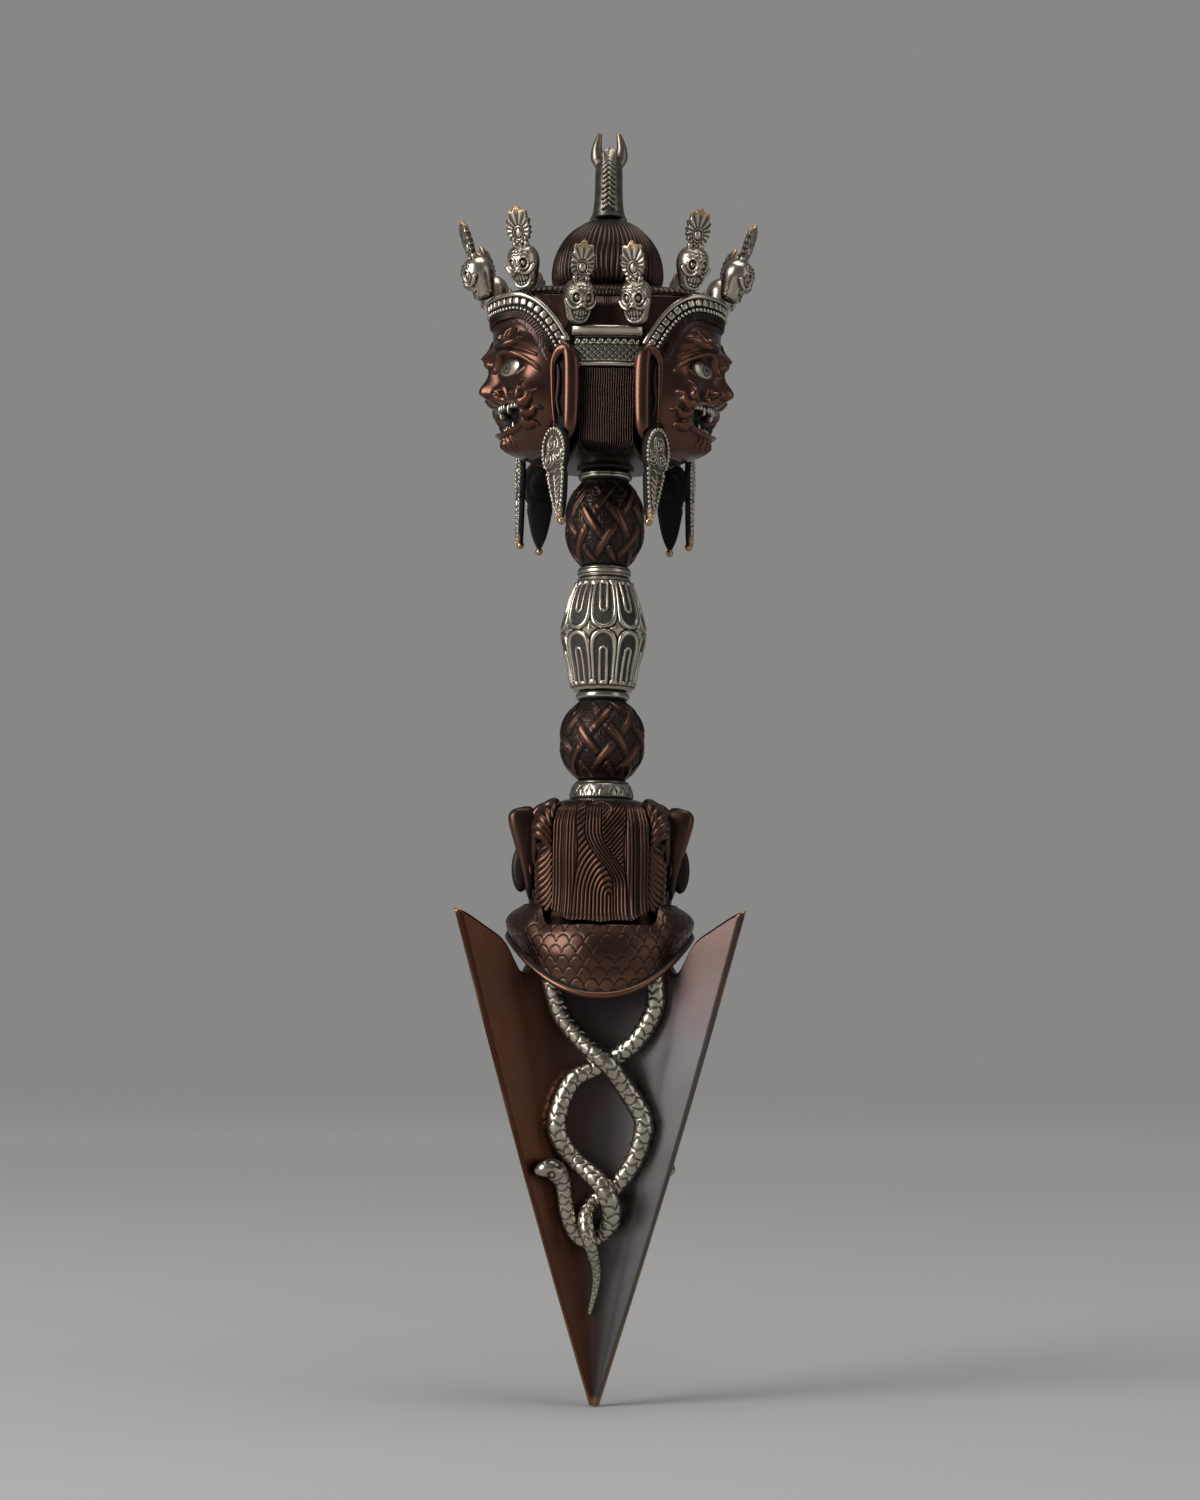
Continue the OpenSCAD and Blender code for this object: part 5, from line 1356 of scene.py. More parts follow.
def make_head_core():
    """The block behind the faces: dished underside, combed walls between the heads."""
    columns, dish_rows, hub = 420, 20, RING_R + 0.4
    a, t = full_turn(columns), rising(0, 1, dish_rows)
    outer = core_r(a)
    r = mix(hub, outer, t)
    s = np.arcsin(np.clip((r - hub) / (DISH_R - hub), 0, 1))
    z = 1 + DISH_RISE * (1 - np.cos(s))
    base = [polar(a, r0, HEAD_Z + z0) for r0, z0 in ((ROD_R, 0), (hub - 0.6, 0), (hub, 0.3))]
    up = np.linspace(0, 1, 14)[1:, None]
    comb = strands(a * outer * math.radians(1) / 0.62) + 0 * up
    wall = polar(a, outer - 0.3 + (comb - 0.5) * 0.4 * ease(up / 0.05), mix(HEAD_Z + z[-1:], HAIRLINE_Z, up))
    grid = np.concatenate([*base, polar(a, r, HEAD_Z + z), wall])
    under = np.full((len(base) + dish_rows, columns), 0.6)
    Skin().rings(grid, relief=np.concatenate([under, comb * 0.9])).piece(
        "head_core_combed", HAIR, ["head_core"])


def make_hair_panel():
    low, rows, steps = CHIN_Z - 0.9, 90, 240
    z, x = rising(low, NAPE_BAND_Z - GAP, rows), sweep(-1, 1, steps) * PANEL_HALF
    foot = ease((z - low) / 3.2)
    comb = strands(x / 0.655 + 0.13 * ripple(x, z, z, 1.3) + 0.08 * np.sin(z * 0.7))
    half = PANEL_HALF * mix(0.72, 1, foot ** 0.6)
    bow = 0.9 * (1 - (x / PANEL_HALF) ** 4) * foot + 0.25 * ripple(x, z, x, 1.7)
    front = -NAPE_Y - GAP - 1.25 - bow + (0.6 - comb) * 0.6
    grid = slab(z, half, front, -NAPE_Y + 0.5 + 0 * z, steps)
    Skin().rings(grid, relief=folded(comb * mix(0.35, 1, foot))).piece(
        "hair_panel_combed", HAIR, ["hair_panel"])


NAPE_BAND_H, NAPE_HALF, LATTICE_PITCH, SCROLL_PITCH = 10.3 * FACE_K, 8.7, 1.9, 2.1


def make_nape_band():
    """Rolled rim, lattice of diamonds and scroll border, with a ledge over them."""
    skin, seat = Skin(), -NAPE_Y - GAP
    rows, steps = 150, 220
    z, x = rising(0, NAPE_BAND_H - 2.2, rows), sweep(-1, 1, steps) * NAPE_HALF
    lattice = np.abs(np.sin(np.pi * (x + z) / LATTICE_PITCH) * np.sin(np.pi * (x - z) / LATTICE_PITCH))
    inside = ease((z - 1.75) / 0.1) * ease((5.75 - z) / 0.1)
    height = np.where(inside > 0.5, 0.3 * ease(lattice / 0.3), 0.25)
    relief = mix(0.85, 0.1 + 0.6 * ease((lattice - 0.06) / 0.2), inside)
    d = Drawing(x, z, 0.8)
    for i in range(-4, 5):
        u = i * SCROLL_PITCH
        d.line(curl(u + 0.4, 7.15, 0.8, 200, 1.2), 0.3, 0.5, 0.22)
        d.line([[u - 1.0, 6.6], [u - 0.2, 6.35], [u + 1.0, 6.7]], 0.24, 0.4)
    border, rim = ease((z - 6.05) / 0.1) * ease((8.25 - z) / 0.1), ease((1.3 - z) / 0.1)
    height = mix(mix(height, d.height, border), 0.9 * dome((z - 0.65) / 0.65), rim)
    relief = mix(relief, d.relief * (d.height > 0.05) + 0.08, border)
    for level in (1.45, 5.9, 8.45):
        relief = relief * groove(z - level, 0.13, 0.95)
        height = height - 0.3 * bell(z - level, 0.13)
    front = seat - 1.5 - 0.9 * (1 - (x / NAPE_HALF) ** 2) - height
    plate = slab(z + NAPE_BAND_Z, np.full(rows, NAPE_HALF), front, seat + 0 * z, steps)
    skin.rings(plate, relief=folded(relief), wear=folded(0.3 * relief, 0))
    steps, bend = 60, np.linspace(0, np.pi / 2, 8)
    level = np.concatenate([[0], 0.25 * np.sin(bend), 1.9 + 0.5 * np.sin(bend)])[:, None]
    out = np.concatenate([[1.2], 4.6 - 0.5 * np.cos(bend), 4.1 + 0.5 * np.cos(bend)])[:, None]
    u = sweep(-1, 1, steps)
    front = seat - (out - 1.6) * np.sqrt(np.clip(1 - (u * 0.93) ** 4, 0, 1)) - 1.6
    mark = mix(0.25, 0.9, ease(out - 3.4)) + 0 * u
    half, back = 9.6 - 0.5 * (out < 1.5), seat - 1.2 + 0 * u
    ledge = slab(level + NAPE_BAND_Z + NAPE_BAND_H - 2.4, half, front, back, steps)
    skin.rings(ledge, relief=folded(mark), wear=folded(mark * 0.3, 0))
    skin.piece("nape_band_chased", SILVER, ["nape_band"])


# Crown: bands, cap, bun and the horse's head

ARC = FACE_DEPTH * math.radians(1)
BAND_LIP, BAND_INNER = 0.62, -0.47


def band_height(a):
    return BAND_Z - BAND_DROP * np.clip((np.abs(a) - 30) / 48, 0, 1) ** 2.4


def band_place(a, w):
    """Turn and level on a crown band (a along it, w across it from -1 to 1), and its length in a degree."""
    level = band_height(a)
    rise = band_height(a + 1) - level
    length = np.hypot(rise, ARC)
    aside = BAND_WIDTH / 2 * w / length
    return a - rise * aside / ARC, level + ARC * aside, length


def make_band(name, turn, step):
    """A plain lip, a strip for the blocks and beads, and combed hair under them."""
    rows, steps = 360, 44
    a, w = rising(BAND_TURN, -BAND_TURN, rows), sweep(-1, 1, steps)
    at, level, length = band_place(a, w)
    comb = strands((BAND_TURN - a) * length / 0.62 + 0.15 * np.sin(w * 9), 0.5)
    rim = dome((w - 0.81) / 0.19)
    zones = [w > BAND_LIP, w > BAND_INNER]
    height = np.select(zones, [0.5 + 0.5 * rim, 0.15 + 0 * rim], 0.05 + 0.25 * comb)
    relief = np.select(zones, [0.4 + 0.6 * rim, 0.05 + 0 * rim], comb * 0.75)
    for line in (BAND_LIP, 0.02, BAND_INNER):
        relief = relief * groove(w - line, 0.035, 0.9)
    base = head_r(at, np.minimum(1, level / FACE_TALL)) + GAP + 0.15
    seat = np.interp(w, [-1, 0, 1], [0.35, 0.55, 0.75])
    grid = np.concatenate([on_head(at, base + seat + height * 0.85, level, step),
                           sparse(on_head(at, base, level, step))], 1)
    wear = np.where(w > BAND_LIP, 0.3 * rim, 0.25 * relief) * (w > -0.5)
    brown = (w < -0.5) * 1.3 + 0 * relief
    Skin().rings(turned(grid, turn), relief=folded(relief), wear=folded(wear, 0), haze=folded(brown)).piece(
        f"crown_band_{name}_beaded", SILVER, [f"crown_band_{name}"])
    for kind, tree, w, lift, gap, size in (("beads", BALLS_ON_LINE, -0.24, 0.3, 1.24, (1.12, 1.12, 1.0)),
                                           ("blocks", BLOCKS_ON_LINE, 0.31, 0.35, 2.25, (1.9, 1.8, 1.0))):
        at, level, _ = band_place(np.linspace(BAND_TURN - 1.5, 1.5 - BAND_TURN, 300), w)
        r = head_r(at, np.minimum(1, level / FACE_TALL)) + GAP + 0.7 + lift
        line = turned(on_head(at, r, level, step), turn)
        out = turned(polar(at, 1, 0), turn)
        set_along(f"crown_{kind}_{name}", tree, [(line, np.gradient(line, axis=0), out)],
                  SILVER, Spacing=gap * MM, Size=[x * MM for x in size])


def head_edge(a, turn, step):
    """Distance from the axis to a head's outline, 0 where it isn't met."""
    d, mid = np.radians(a - turn), HEAD_OFFSET + step
    u = (np.cos(d) / FACE_DEPTH) ** 2 + (np.sin(d) / FACE_HALF) ** 2
    v, w = np.cos(d) * mid / FACE_DEPTH ** 2, (mid / FACE_DEPTH) ** 2 - 1
    inside = v * v - u * w
    return np.where(inside < 0, 0, (v + np.sqrt(np.maximum(0, inside))) / u)


CAP_H, BUN_R, BUN_H = 4.6, 15.5, 21.4
BUN_Z = HAIRLINE_Z + GAP + CAP_H


def make_cap():
    columns, rows = 520, 34
    a, t = full_turn(columns), rising(0, 1, rows)
    edge = np.maximum(NAPE_Y, np.max([head_edge(a, turn, step) for _, turn, step, _ in HEADS], 0))
    inward = along([(0, 0), (0.3, 0.03), (0.55, 0.14), (0.75, 0.4), (0.88, 0.68), (0.96, 0.9), (1, 1)], t)
    comb = strands(a / 3.0 + 0.12 * np.sin(t * 7 + np.radians(a) * 3), 0.55)
    fade = ease(t / 0.06) * ease((1 - t) / 0.04 + 0.25)
    r = mix(edge, BUN_R - 0.5, inward) - 0.35 + (comb - 0.3) * 0.55 * fade
    grid = polar(a, r, HAIRLINE_Z + GAP + t * (CAP_H - GAP))
    Skin().rings(grid, relief=comb * groove(t - 1, 0.05, 0.9)).piece("hair_cap_combed", HAIR, ["hair_cap"])


BUN_STRANDS, BUN_LOCKS, BUN_FOOT = 64, 13, 5


def make_bun():
    columns, rows = 512, 66
    a, s, foot = full_turn(columns), rising(0, np.pi / 2, rows), np.linspace(0, 1, 10)[:-1, None]
    r = np.concatenate([BUN_R - 2.1 + 2.1 * np.sin(foot * np.pi / 2) ** 0.8,
                        (BUN_R - 4) * np.cos(s) + 4 * np.cos(s * 0.9)])
    z = np.concatenate([BUN_FOOT * foot, BUN_FOOT + (BUN_H - BUN_FOOT) * np.sin(s)])
    share, turn = z / BUN_H, np.radians(a)
    comb = strands(a * BUN_STRANDS / 360 + 0.16 * np.sin(share * 7 + 2 * np.sin(turn * 4)))
    lock = 0.3 * np.cos(turn * BUN_LOCKS + 0.9 * np.sin(share * 6))
    fade = ease(r / 6) * ease(z / 1.2 + 0.2)
    out = r - 0.35 + ((comb - 0.4) * 0.6 + lock * 0.5) * fade
    relief = comb * mix(0.2, 1, ease(z / 1.5)) * mix(0.5, 1, fade)
    Skin().rings(polar(a, out, BUN_Z + z), relief=relief).piece("hair_bun_combed", HAIR, ["hair_bun"])


HORSE_Z, HORSE_K = BUN_Z + BUN_H + GAP, 26.2 / 22.6
HEAD_TILT, THROAT = 104, np.array([0, 4.4, 10.4])


def down_front(tilt):
    c, s = cos_sin(tilt)
    return np.array([0, c, -s])


def onward(tilt):
    c, s = cos_sin(tilt)
    return np.array([0, s, c])


def horse_rings():
    """Middle, tilt, half width and half depth of rings up the neck and along the head."""
    rings = [(0, 0, 0, 0, 4.5, 4.8), (0, -0.2, 1.6, 0, 3.8, 4.4), (0, -0.5, 5.4, 0, 3.4, 4.3)]
    for tilt, wide, deep in ((6, 3.3, 4.2), (30, 3.2, 3.9), (56, 3.1, 3.6), (82, 3.0, 3.3),
                             (HEAD_TILT, 2.9, 3.1)):
        rings.append((*THROAT - (deep + 0.6) * down_front(tilt), tilt, wide, deep))
    for far, wide, deep, drop in ((2.6, 2.6, 2.6, 0.4), (5.4, 2, 2, 0.7), (7.8, 2.1, 1.9, 0.9),
                                  (9, 1.4, 1.2, 0.9)):
        middle = THROAT - (3.8 - drop) * down_front(HEAD_TILT) + far * onward(HEAD_TILT)
        rings.append((*middle, HEAD_TILT, wide, deep))
    return smooth_path(rings, 12)


HORSE_EAR = [(1.7, 0.6, 13.0), (2.7, 0.7, 15.4), (2.95, 0.6, 18.0), (2.2, 0.6, 21.6)]


def make_horse():
    """Head and neck with bridle, eyes and ears; share counts the rings from the foot to the muzzle."""
    rings = horse_rings()
    turn, share = circle(72), rising(0, 11, len(rings))
    side, below = np.cos(turn)[None, :], np.sin(turn)[None, :]
    eye = np.hypot((share - 7.75) / 0.22, (np.abs(side) - 0.84) / 0.14) + 9 * (below > 0.35)
    nostril = np.hypot((share - 10.2) / 0.2, (np.abs(side) - 0.75) / 0.2) + 9 * (below > 0.3)
    mouth = bell(below - 0.3, 0.09) * ease((share - 9.3) / 0.3)
    height = (0.35 * bell(eye, 0.75) - 0.25 * bell(eye - 1.2, 0.3) - 0.5 * bell(nostril, 0.7) - 0.3 * mouth
              + 0.25 * (bell(share - 9.1, 0.12) + bell(share - 7.1, 0.1))
              + 0.25 * bell(share - 8.4, 0.5) * bell(below - 0.2, 0.4))
    relief = (0.66 + 0.1 * np.cos(share * 9) * below - 0.66 * bell(eye - 1.15, 0.3) - 0.8 * bell(nostril, 0.8)
              - 0.9 * mouth)
    for edge in (8.96, 9.24, 6.97, 7.23):
        relief = relief - 0.7 * bell(share - edge, 0.04)
    lean = np.array([down_front(t) for t in rings[:, 3]])
    wide, deep = (rings[:, 4, None] + height) * side, (rings[:, 5, None] + height * 0.8) * below
    grid = rings[:, None, :3] + wide[..., None] * [1, 0, 0] + deep[..., None] * lean[:, None]
    skin = Skin().rings(grid, relief=np.clip(relief, 0, 1))
    crest = rings[int(1.2 / 11 * len(rings)):int(7.2 / 11 * len(rings))]
    up = -np.array([down_front(t) for t in crest[:, 3]])
    ahead = np.array([onward(t) for t in crest[:, 3]])
    locks = []
    for k in (-1, 1):
        line = (crest[:, :3] + up * (crest[:, 5:6] + 0.15) + [k * 0.75, 0, 0]) * HORSE_K + [0, 0, HORSE_Z]
        locks.append((line, [k * 0.8, 0, 0] - ahead * 0.75 - up * 0.35, up + [k * 0.5, 0, 0]))
        path = smooth_path(np.array(HORSE_EAR) * [k, 1, 1], 9)
        t = np.linspace(0, 1, len(path))
        wide = np.interp(t, [0, 0.35, 0.7, 1], [1.3, 1.75, 1.15, 0.4])
        flat = 1 - 0.3 * np.abs(np.sin(circle(28)))
        skin.rings(tube_grid(path, wide, 28, (0, 1, 0), flat), relief=0.8, wear=(t ** 2)[:, None])
    set_along("horse_mane_locks", BALLS_ON_LINE, locks, DULL_SILVER, Spacing=1.4 * MM,
              Size=[3.3 * MM, 1.0 * MM, 1.2 * MM], Uneven=0.12)
    skin.moved(lambda p: p * HORSE_K + [0, 0, HORSE_Z]).piece("horse_head_maned", DULL_SILVER, ["horse_head"])


for name, turn, step, ears in HEADS:
    make_face(name, turn, step, ears)
    make_band(name, turn, step)
make_head_core()
make_hair_panel()
make_nape_band()
make_cap()
make_bun()
make_horse()


# Skulls with their leaves, and earrings

SKULL_OUT, SHARED_OUT, SKULL_W, SKULL_H, SKULL_FOOT, SKULL_LEAN = 20.4, 28.4, 8.8, 12.2, 3.7, 19
SKULL_PROFILE = [(0, 0.3), (0.25, 0.44), (0.6, 0.56), (2, 0.7), (3.6, 0.8), (5.2, 0.91), (7.2, 1.0),
                 (8.6, 0.985), (10.2, 0.86), (11.4, 0.6), (12, 0.28), (SKULL_H, 0.05)]
SOCKET_X, SOCKET_Z = 1.8, 7.25


def skull_z(a):
    rise = 2.65 * bell(abs(a) - 90, 20) + 1.2 * bell(abs(a) - 51, 15)
    return float(CHIN_Z + band_height(a) * FACE_K + SKULL_FOOT + rise)


def make_skull_skin():
    """Skull with wrinkled brow, ringed sockets, moustache-like cheeks and teeth in a U-shaped jaw."""
    columns, rows = 112, 72
    a, z = full_turn(columns), SKULL_H * rising(0, 1, rows) ** 0.96
    x, wide = a * math.radians(SKULL_W / 2), along(SKULL_PROFILE, z)
    d = Drawing(x, z, 0.8)
    for rise, lift in ((9.5, 0), (10.35, 0.2)):
        d.pair([[0, rise], [0.75, rise + 0.35], [1.5, rise - 0.05 + lift], [2.4, rise + 0.45],
                [3.4, rise - 0.2]], 0.26, 0.28)
    for side in (-1, 1):
        d.line(loop(side * SOCKET_X, SOCKET_Z, 1.35, 1.6, 1, 22), 0.3, 0.4)
        d.line(np.array([[0.7, 4.9], [1.9, 4.3], [3.4, 4.9], [4.4, 6.2]]) * [side, 1], 0.5, 0.75, 0.8)
    across = x * wide
    jaw, below = np.hypot(across / 3.4, (z - 4.5) / 4.3), ease((4.3 - z) / 0.3)
    rim, grin = bell(jaw - 0.9, 0.08) * below, ease((0.8 - jaw) / 0.05) * below
    teeth = ease((0.41 - np.abs((across / 0.9 + 0.5) % 1 - 0.5)) / 0.09)
    teeth = teeth * (1 - bell(z - 2.2 - 0.1 * across ** 2, 0.15))
    away = np.hypot(np.abs(x) - SOCKET_X, (z - SOCKET_Z) / 1.22)
    hole, ball = ease((1.12 - away) / 0.15), dome(away / 0.88)
    nose = np.hypot(x / 0.85, (z - 5.4) / 0.95)
    nostril = np.hypot((np.abs(x) - 0.42) / 0.24, (z - 4.9) / 0.22)
    height = (d.height + grin * (0.3 * teeth - 0.4) + 0.4 * rim - 0.8 * hole + 0.75 * ball * hole
              + 0.95 * bell(nose, 0.9) - 0.3 * bell(nostril, 0.8))
    relief = np.maximum(mix(d.relief, 0.9 * teeth, grin), rim) * (1 - 0.9 * bell(jaw - 0.76, 0.04) * below)
    relief = mix(relief, 0.8 * ball ** 0.4, hole)
    relief = np.where(nose < 1, 0.95, relief * ease((nose - 1) / 0.3 + 0.1))
    relief = relief * groove(nostril, 0.9, 0.9) * ease(z / 0.9 + 0.1)
    r = SKULL_W / 2 * wide + height * ease(z / 0.8)
    return Skin().rings(polar(a, r, z), relief=relief)


LEAF_H, LEAF_MIDDLE, LEAF_RAYS = 10.4, 4.4, 14


def make_leaf_skin():
    """Oval boss in a ring with rays all round, a tip of three balls and scallops at the foot."""
    s = circle(98)
    up, q = np.sin(s), np.concatenate([[0.98, 1.0], np.linspace(1, 0.02, 28)])[:, None]
    reach = np.where(up > 0, 3.4 + 2.9 * np.clip(up, 0, 1) ** 3, 3.3 + 0.4 * np.abs(up) ** 3)
    r = q * reach * (1 + 0.075 * np.cos(s * LEAF_RAYS + np.pi))
    away = np.hypot(r * np.cos(s), (r * up + 0.6) / 1.25)
    ray = np.abs(np.cos(s * LEAF_RAYS / 2)) ** 0.7
    in_rays = ease((away - 1.7) / 0.15)
    height = 0.35 + 0.55 * dome(away) + 0.3 * bell(away - 1.42, 0.17)
    height = height + in_rays * (0.38 * ray - 0.05) * ease((1 - q) / 0.08)
    relief = np.where(away < 1.0, 0.95, 0.06) + 0.9 * bell(away - 1.42, 0.17)
    relief = np.clip(mix(relief, ray - 0.05, in_rays) * ease((1.04 - q) / 0.08), 0, 1)
    shape = np.stack([r * np.cos(s), -height - 0.35, r * up + LEAF_MIDDLE], -1)
    shape[:2, :, 1] = [[0.45], [-0.1]]
    wear = ease((shape[..., 2] - LEAF_MIDDLE - 3.2) / 2.2) * 0.8
    skin = Skin().rings(shape, relief=relief, wear=wear)
    for x, z, size, wear in ((0, LEAF_H - 0.35, 0.62, 0.75), (-0.95, LEAF_H - 1.35, 0.62, 0.75),
                             (0.95, LEAF_H - 1.35, 0.62, 0.75), (-1.7, 0.9, 0.85, 0.1), (0, 0.4, 0.85, 0.1),
                             (1.7, 0.9, 0.85, 0.1)):
        skin.rings(round_ball((x, -0.3, z), size, 14, 8), relief=0.9, wear=wear)
    return skin.moved(lambda p: p + [0, 0, SKULL_H - 0.9])


def round_ball(place, r, sides=28, rows=16):
    s, a = rising(0.04, np.pi - 0.04, rows), circle(sides)
    ball = np.stack([np.sin(s) * np.cos(a), np.sin(s) * np.sin(a), -np.cos(s) + 0 * a], -1)
    return r * ball + place


def skull_places():
    """Name, the head's turn and middle, the skull's turn on it, distance and level."""
    for (name, turn, step, _), turns in zip(HEADS, ((-51, 0, 51, 90), (-90, -51, 0, 51), (-51, 0, 51))):
        for i, a in enumerate(turns):
            yield f"skull_{name}_{i + 1}", turn, HEAD_OFFSET + step, a, SKULL_OUT, skull_z(a)
    for name, turn in (("left", -127.5), ("right", 127.5)):
        yield f"skull_shared_{name}", turn, 0, 0, SHARED_OUT, skull_z(90)


def make_skulls():
    head, leaf = make_skull_skin(), make_leaf_skin()
    for name, turn, middle, a, out, level in skull_places():
        def move(p, turn=turn, middle=middle, a=a, out=out, level=level):
            p = turned(tipped(p, SKULL_LEAN) + [0, -out, level], a)
            return turned(p - [0, middle, 0], turn)

        whole = Skin()
        for part in (head.moved(move), leaf.moved(move)):
            marks = {key: np.concatenate(values) for key, values in part.marks.items()}
            whole.add(np.vstack(part.points), part.faces, **marks)
        whole.piece(name + "_leafed", SILVER, [name])


EARRING_L, EARRING_W, EARRING_PLATE, EARRING_Z = 26.0, 10.4, 1.4, 5.2
EARRING_TOP, EARRING_TIP = EARRING_L * 0.27, EARRING_L * 0.73


def leaf_half(t):
    """Half width of an earring's leaf, t from 0 at its root to 1 at its tip."""
    return EARRING_W / 2 * (1 - 0.25 * np.sin(np.pi * t)) * (1 - t ** 2.4)


def earring_skin(hook):
    """Oval with three rosettes in a beaded rim, a leaf below it and a bead at the tip."""
    rows, steps = 160, 68
    z, u = rising(EARRING_TOP, -EARRING_TIP, rows), sweep(-1, 1, steps)
    t = np.clip(-z / EARRING_TIP, 0, 1)
    half = np.where(z > 0, EARRING_W / 2 * np.sqrt(np.clip(1 - (z / EARRING_TOP) ** 2, 0.0004, 1)),
                    leaf_half(t) + 0.03)
    half = half - 0.7 * bell(z + 5.4, 1.1)
    x = u * half
    d = Drawing(x, z, 0.42)
    for cu, cz, r, way in ((-2.05, -1.6, 1.75, 1), (2.05, -1.6, 1.75, -1), (0, 2.1, 1.95, 1)):
        d.line(curl(cu, cz, r, 90, way * 1.7, 0.1), 0.42, 0.55, 0.3)
        d.line(loop(cu, cz, r + 0.35, r + 0.35, 1, 22), 0.24, 0.35)
        d.knob(cu, cz, 0.5, 0.75)
    for k in range(6):
        level = -7.4 - k * 1.55
        wide = float(np.interp(level, [-19, -7], [0.5, 3.4]))
        vein = [[0.25, level - 0.9], [wide * 0.45, level - 0.1], [wide * 0.9, level + 0.55]]
        d.pair(vein, 0.42, 0.5, 0.28)
    d.line([[0, -6.6], [0, -16.6]], 0.3, 0.55, 0.16)
    d.line([[-3.4, -5.5], [-1.2, -5.0], [0, -5.6], [1.2, -5.0], [3.4, -5.5]], 0.32, 0.45)
    inside = half - np.abs(x)
    bead = np.where(z > -5, np.abs(np.cos(np.arctan2(x, z + 0.5) * 10.12)), np.abs(np.cos(z * 3.4)))
    rim, at_rim = bell(inside - 0.55, 0.36) * (0.35 + 0.65 * bead ** 0.6), ease((1.15 - inside) / 0.2)
    height = mix(d.height, 0.15 + 0.5 * rim, at_rim)
    relief = mix(d.relief, rim, at_rim) * groove(inside - 1.15, 0.13, 0.9)
    front = -EARRING_PLATE + 0.25 - height - 0.5 * (1 - u ** 2)
    wear = ease((-z - 13) / 5) * 0.9 + 0.15 * relief
    plate = slab(z, half, front, 0 * front, steps)
    # The plate's back is painted near black as painted shade.
    skin = Skin().rings(plate, relief=folded(relief, 0.04), wear=folded(wear, 0))
    skin.rings(round_ball((0, -EARRING_PLATE / 2, -EARRING_TIP - 0.1), 1.1), relief=0.9, wear=1.0)
    spin, y = circle(24), np.array([-0.4, hook * 0.3, hook])[:, None]
    stud = [0.8 * np.cos(spin) + 0 * y, y + 0 * spin, 0.8 * np.sin(spin) + 0 * y + EARRING_TOP - 1.4]
    skin.rings(np.stack(stud, -1), relief=0.5)
    # The rosette boss behind the oval is painted near black too, as painted shade.
    back = boss(lambda s: 2.9 + 0.25 * np.abs(np.cos(s * 4)),
                [(1, 0), (1, 0.25), (0.8, 0.5), (0.4, 0.6), (0.03, 0.6)])
    skin.rings(np.stack([back[..., 0], back[..., 2] - 0.05, back[..., 1] * 1.3 - 0.3], -1), relief=0.1)
    return skin


def make_earrings():
    """Six earrings, turned further out at the nape, with beads round the oval and along the leaf."""
    lap = rising(0, 1, 90)
    upper, fall = np.radians(mix(-118, 118, lap)), mix(-5.4, -17.6, lap)
    taper = leaf_half(-fall / 19) - 0.5
    lines = [np.concatenate([(EARRING_W / 2 - 0.55) * np.sin(upper), -1.75 + 0 * lap,
                             (EARRING_TOP - 0.55) * np.cos(upper)], 1)]
    lines += [np.concatenate([k * taper, -1.6 + 0 * lap, fall], 1) for k in (-1, 1)]
    for head, turn, step, ears in HEADS:
        for letter, side, at_nape in zip("ab", (-1, 1), ears):
            name = f"earring_{head}_{letter}"
            hook, splay, swing = (3.0, 22, 8) if at_nape else (3.7, 7, 0)

            def move(p, side=side, turn=turn, step=step, splay=splay, swing=swing):
                c, s = cos_sin(side * swing)
                p = (p - [0, 0, EARRING_TOP]) @ np.array([[c, 0, s], [0, 1, 0], [-s, 0, c]])
                p = turned(p, side * splay)
                p = p + [side * (FACE_HALF + 1.8), -HEAD_OFFSET - step - 4.7, CHIN_Z + EARRING_Z]
                return turned(p, turn)

            earring_skin(hook).moved(move).piece(name + "_chased", SILVER, [name])
            out = move(np.array([[0, -1.0, 0]])) - move(np.array([[0, 0, 0]]))
            placed = [move(line) for line in lines]
            set_along(name + "_beads", BALLS_ON_LINE,
                      [(line, np.gradient(line, axis=0), np.repeat(out, len(line), 0)) for line in placed],
                      SILVER, Spacing=1.18 * MM, Size=[1.08 * MM, 1.08 * MM, 0.9 * MM])


make_skulls()
make_earrings()


# Stage: a pale floor, soft lamps and the camera where the photograph was taken from

FLOOR_R, FLOOR_SIDES = 14, 64


def make_floor():
    made = bpy.data.materials.new("pale floor")
    n = fresh_nodes(made)
    place = n.node("ShaderNodeTexCoord", out="Object")
    cloud = n.noise(place, 3.0).between(0.3, 0.7)
    tone = n.colours(cloud, colour(0.4, 0.397, 0.39), colour(0.42, 0.417, 0.41))
    # Painted light: the floor is painted paler away from the middle, making up for the light that falls off
    # across it, so that it fades into the grey behind it.
    away = n.node("ShaderNodeVectorMath", {"operation": "LENGTH"}, {0: place}, "Value")
    tone = n.colours(away.between(0.2, 2.4), tone, colour(0.8, 0.795, 0.785))
    surface = n.node("ShaderNodeBsdfPrincipled", {},
                     {"Base Color": tone, "Roughness": 1.0, "Specular IOR Level": 0.0})
    n.node("ShaderNodeOutputMaterial", {}, {"Surface": surface})
    mesh = bpy.data.meshes.new("floor")
    turns = [i * math.tau / FLOOR_SIDES for i in range(FLOOR_SIDES)]
    edge = [(FLOOR_R * math.sin(t), FLOOR_R * math.cos(t), -0.4 * MM) for t in turns]
    mesh.from_pydata(edge, [], [list(range(FLOOR_SIDES))[::-1]])
    mesh.materials.append(made)
    place_in_scene("floor", mesh)


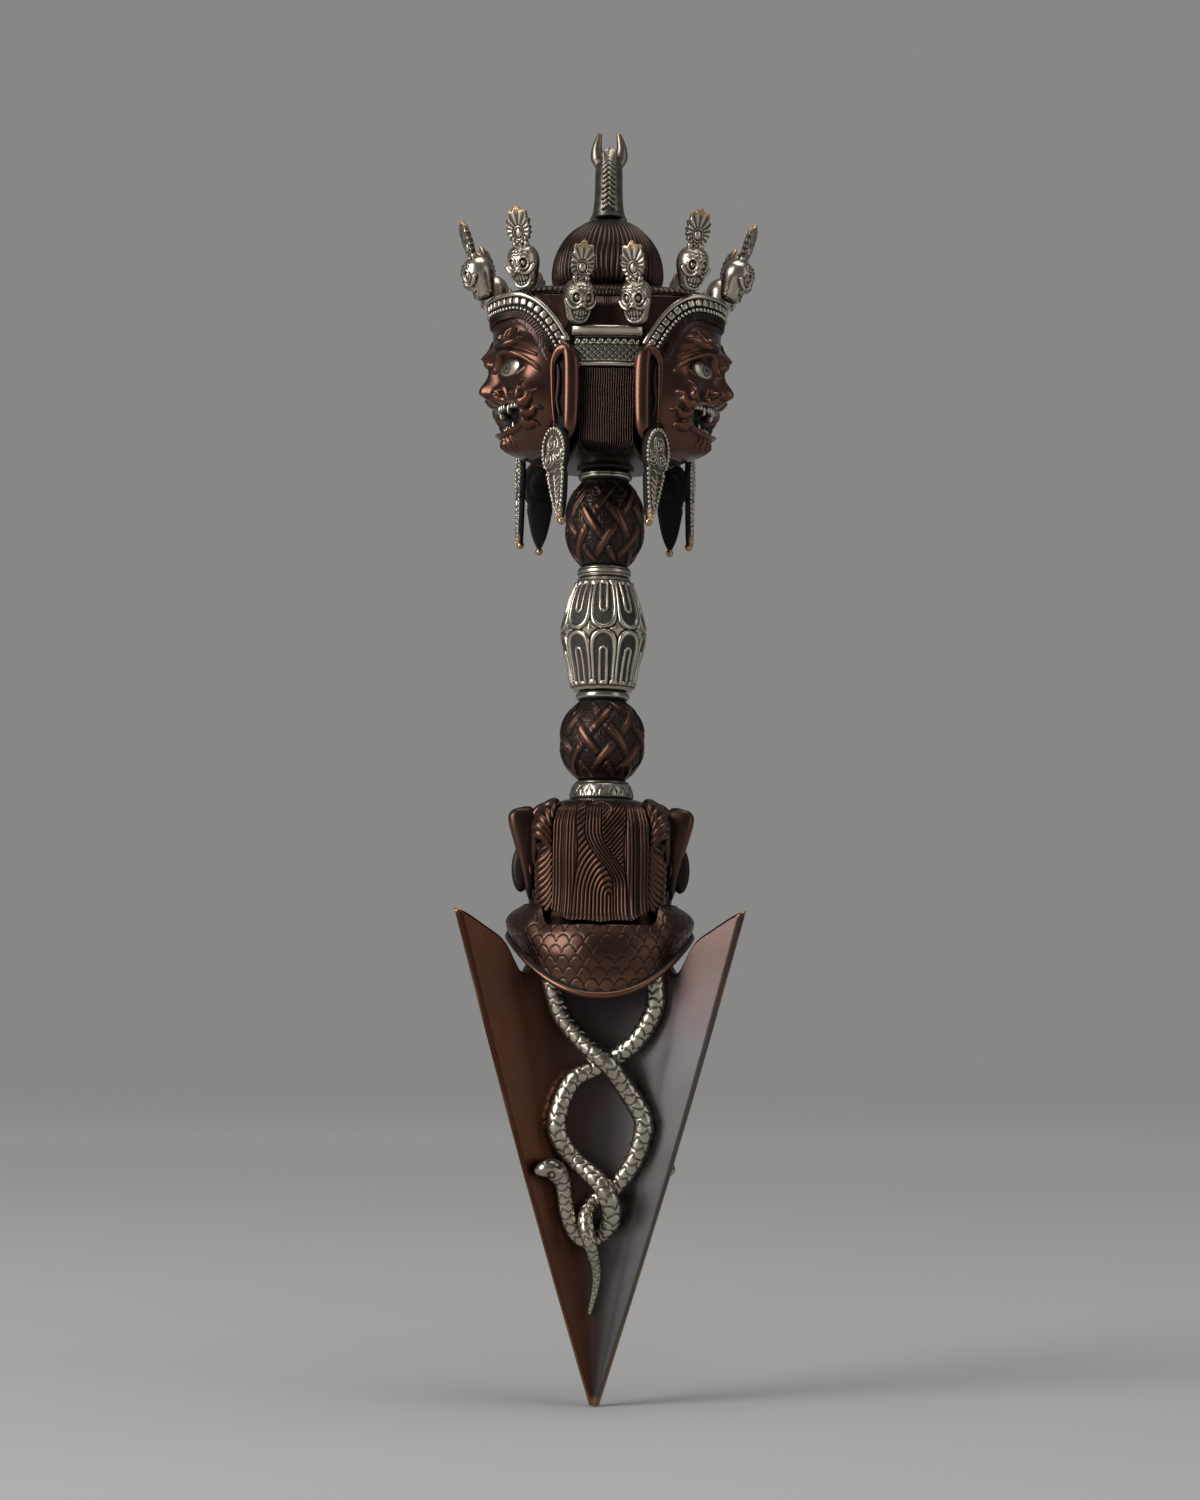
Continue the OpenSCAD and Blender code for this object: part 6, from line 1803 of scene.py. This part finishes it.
def make_world():
    """Light from all round, darker in reflections, with a pale grey seen behind the floor."""
    world = bpy.data.worlds.new("studio")
    n = fresh_nodes(world)
    light, shown, around = [n.node("ShaderNodeBackground", {}, {"Color": colour(*tone)}) for tone in
                            ((0.3, 0.3, 0.3), (0.245, 0.243, 0.239), (0.15, 0.15, 0.152))]
    seen = n.node("ShaderNodeLightPath", out="Is Camera Ray")
    shining = n.node("ShaderNodeLightPath", out="Is Glossy Ray")
    both = n.node("ShaderNodeMixShader", {}, {0: shining, 1: light, 2: around})
    both = n.node("ShaderNodeMixShader", {}, {0: seen, 1: both, 2: shown})
    n.node("ShaderNodeOutputWorld", {}, {"Surface": both})
    bpy.context.scene.world = world


LAMPS = (("left softbox", (-1.1, -0.9, 0.7), (0.7, 1.1), 19),
         ("right softbox", (1.2, -0.7, 0.5), (0.6, 1.2), 1.9),
         ("top softbox", (0.1, -0.2, 1.4), (0.8, 0.8), 7))
LAMPS_AIM = Vector((0, 0, 0.18))


def make_lamp(name, place, size, watts):
    lamp = bpy.data.lights.new(name, "AREA")
    lamp.shape, lamp.size, lamp.size_y, lamp.energy = "RECTANGLE", *size, watts
    made = place_in_scene(name, lamp)
    made.location = place
    made.rotation_mode = "QUATERNION"
    made.rotation_quaternion = (LAMPS_AIM - Vector(place)).to_track_quat("-Z", "Y")


CAMERA_SEAT, CAMERA_AIM, CAMERA_LEAN = Vector((0, -0.8166, 0.0947)), Vector((0, 0, 0.17624)), 0.7
# Two pixels to the left at the object's distance, with a focal length of 3000 pixels
CAMERA_SIDE = -0.818 * 2 / 3000


def make_camera():
    lens = bpy.data.cameras.new("camera")
    lens.sensor_width, lens.lens = 36, 72
    lens.clip_start, lens.clip_end = 0.01, 20
    made = place_in_scene("camera", lens)
    look = (CAMERA_AIM - CAMERA_SEAT).to_track_quat("-Z", "Y").to_matrix()
    lean = Matrix.Rotation(math.radians(CAMERA_LEAN), 3, "Z")
    seat = CAMERA_SEAT + look @ Vector((CAMERA_SIDE, 0, 0))
    made.matrix_world = Matrix.LocRotScale(seat, (look @ lean).to_quaternion(), None)
    bpy.context.scene.camera = made
    bpy.context.scene.view_settings.view_transform = "Standard"


make_floor()
make_world()
for lamp in LAMPS:
    make_lamp(*lamp)
make_camera()

for name, slot_finish in (("tang_rod", IRON), ("temple_plates", SILVER)):
    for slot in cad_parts[name].material_slots:
        slot.material = slot_finish
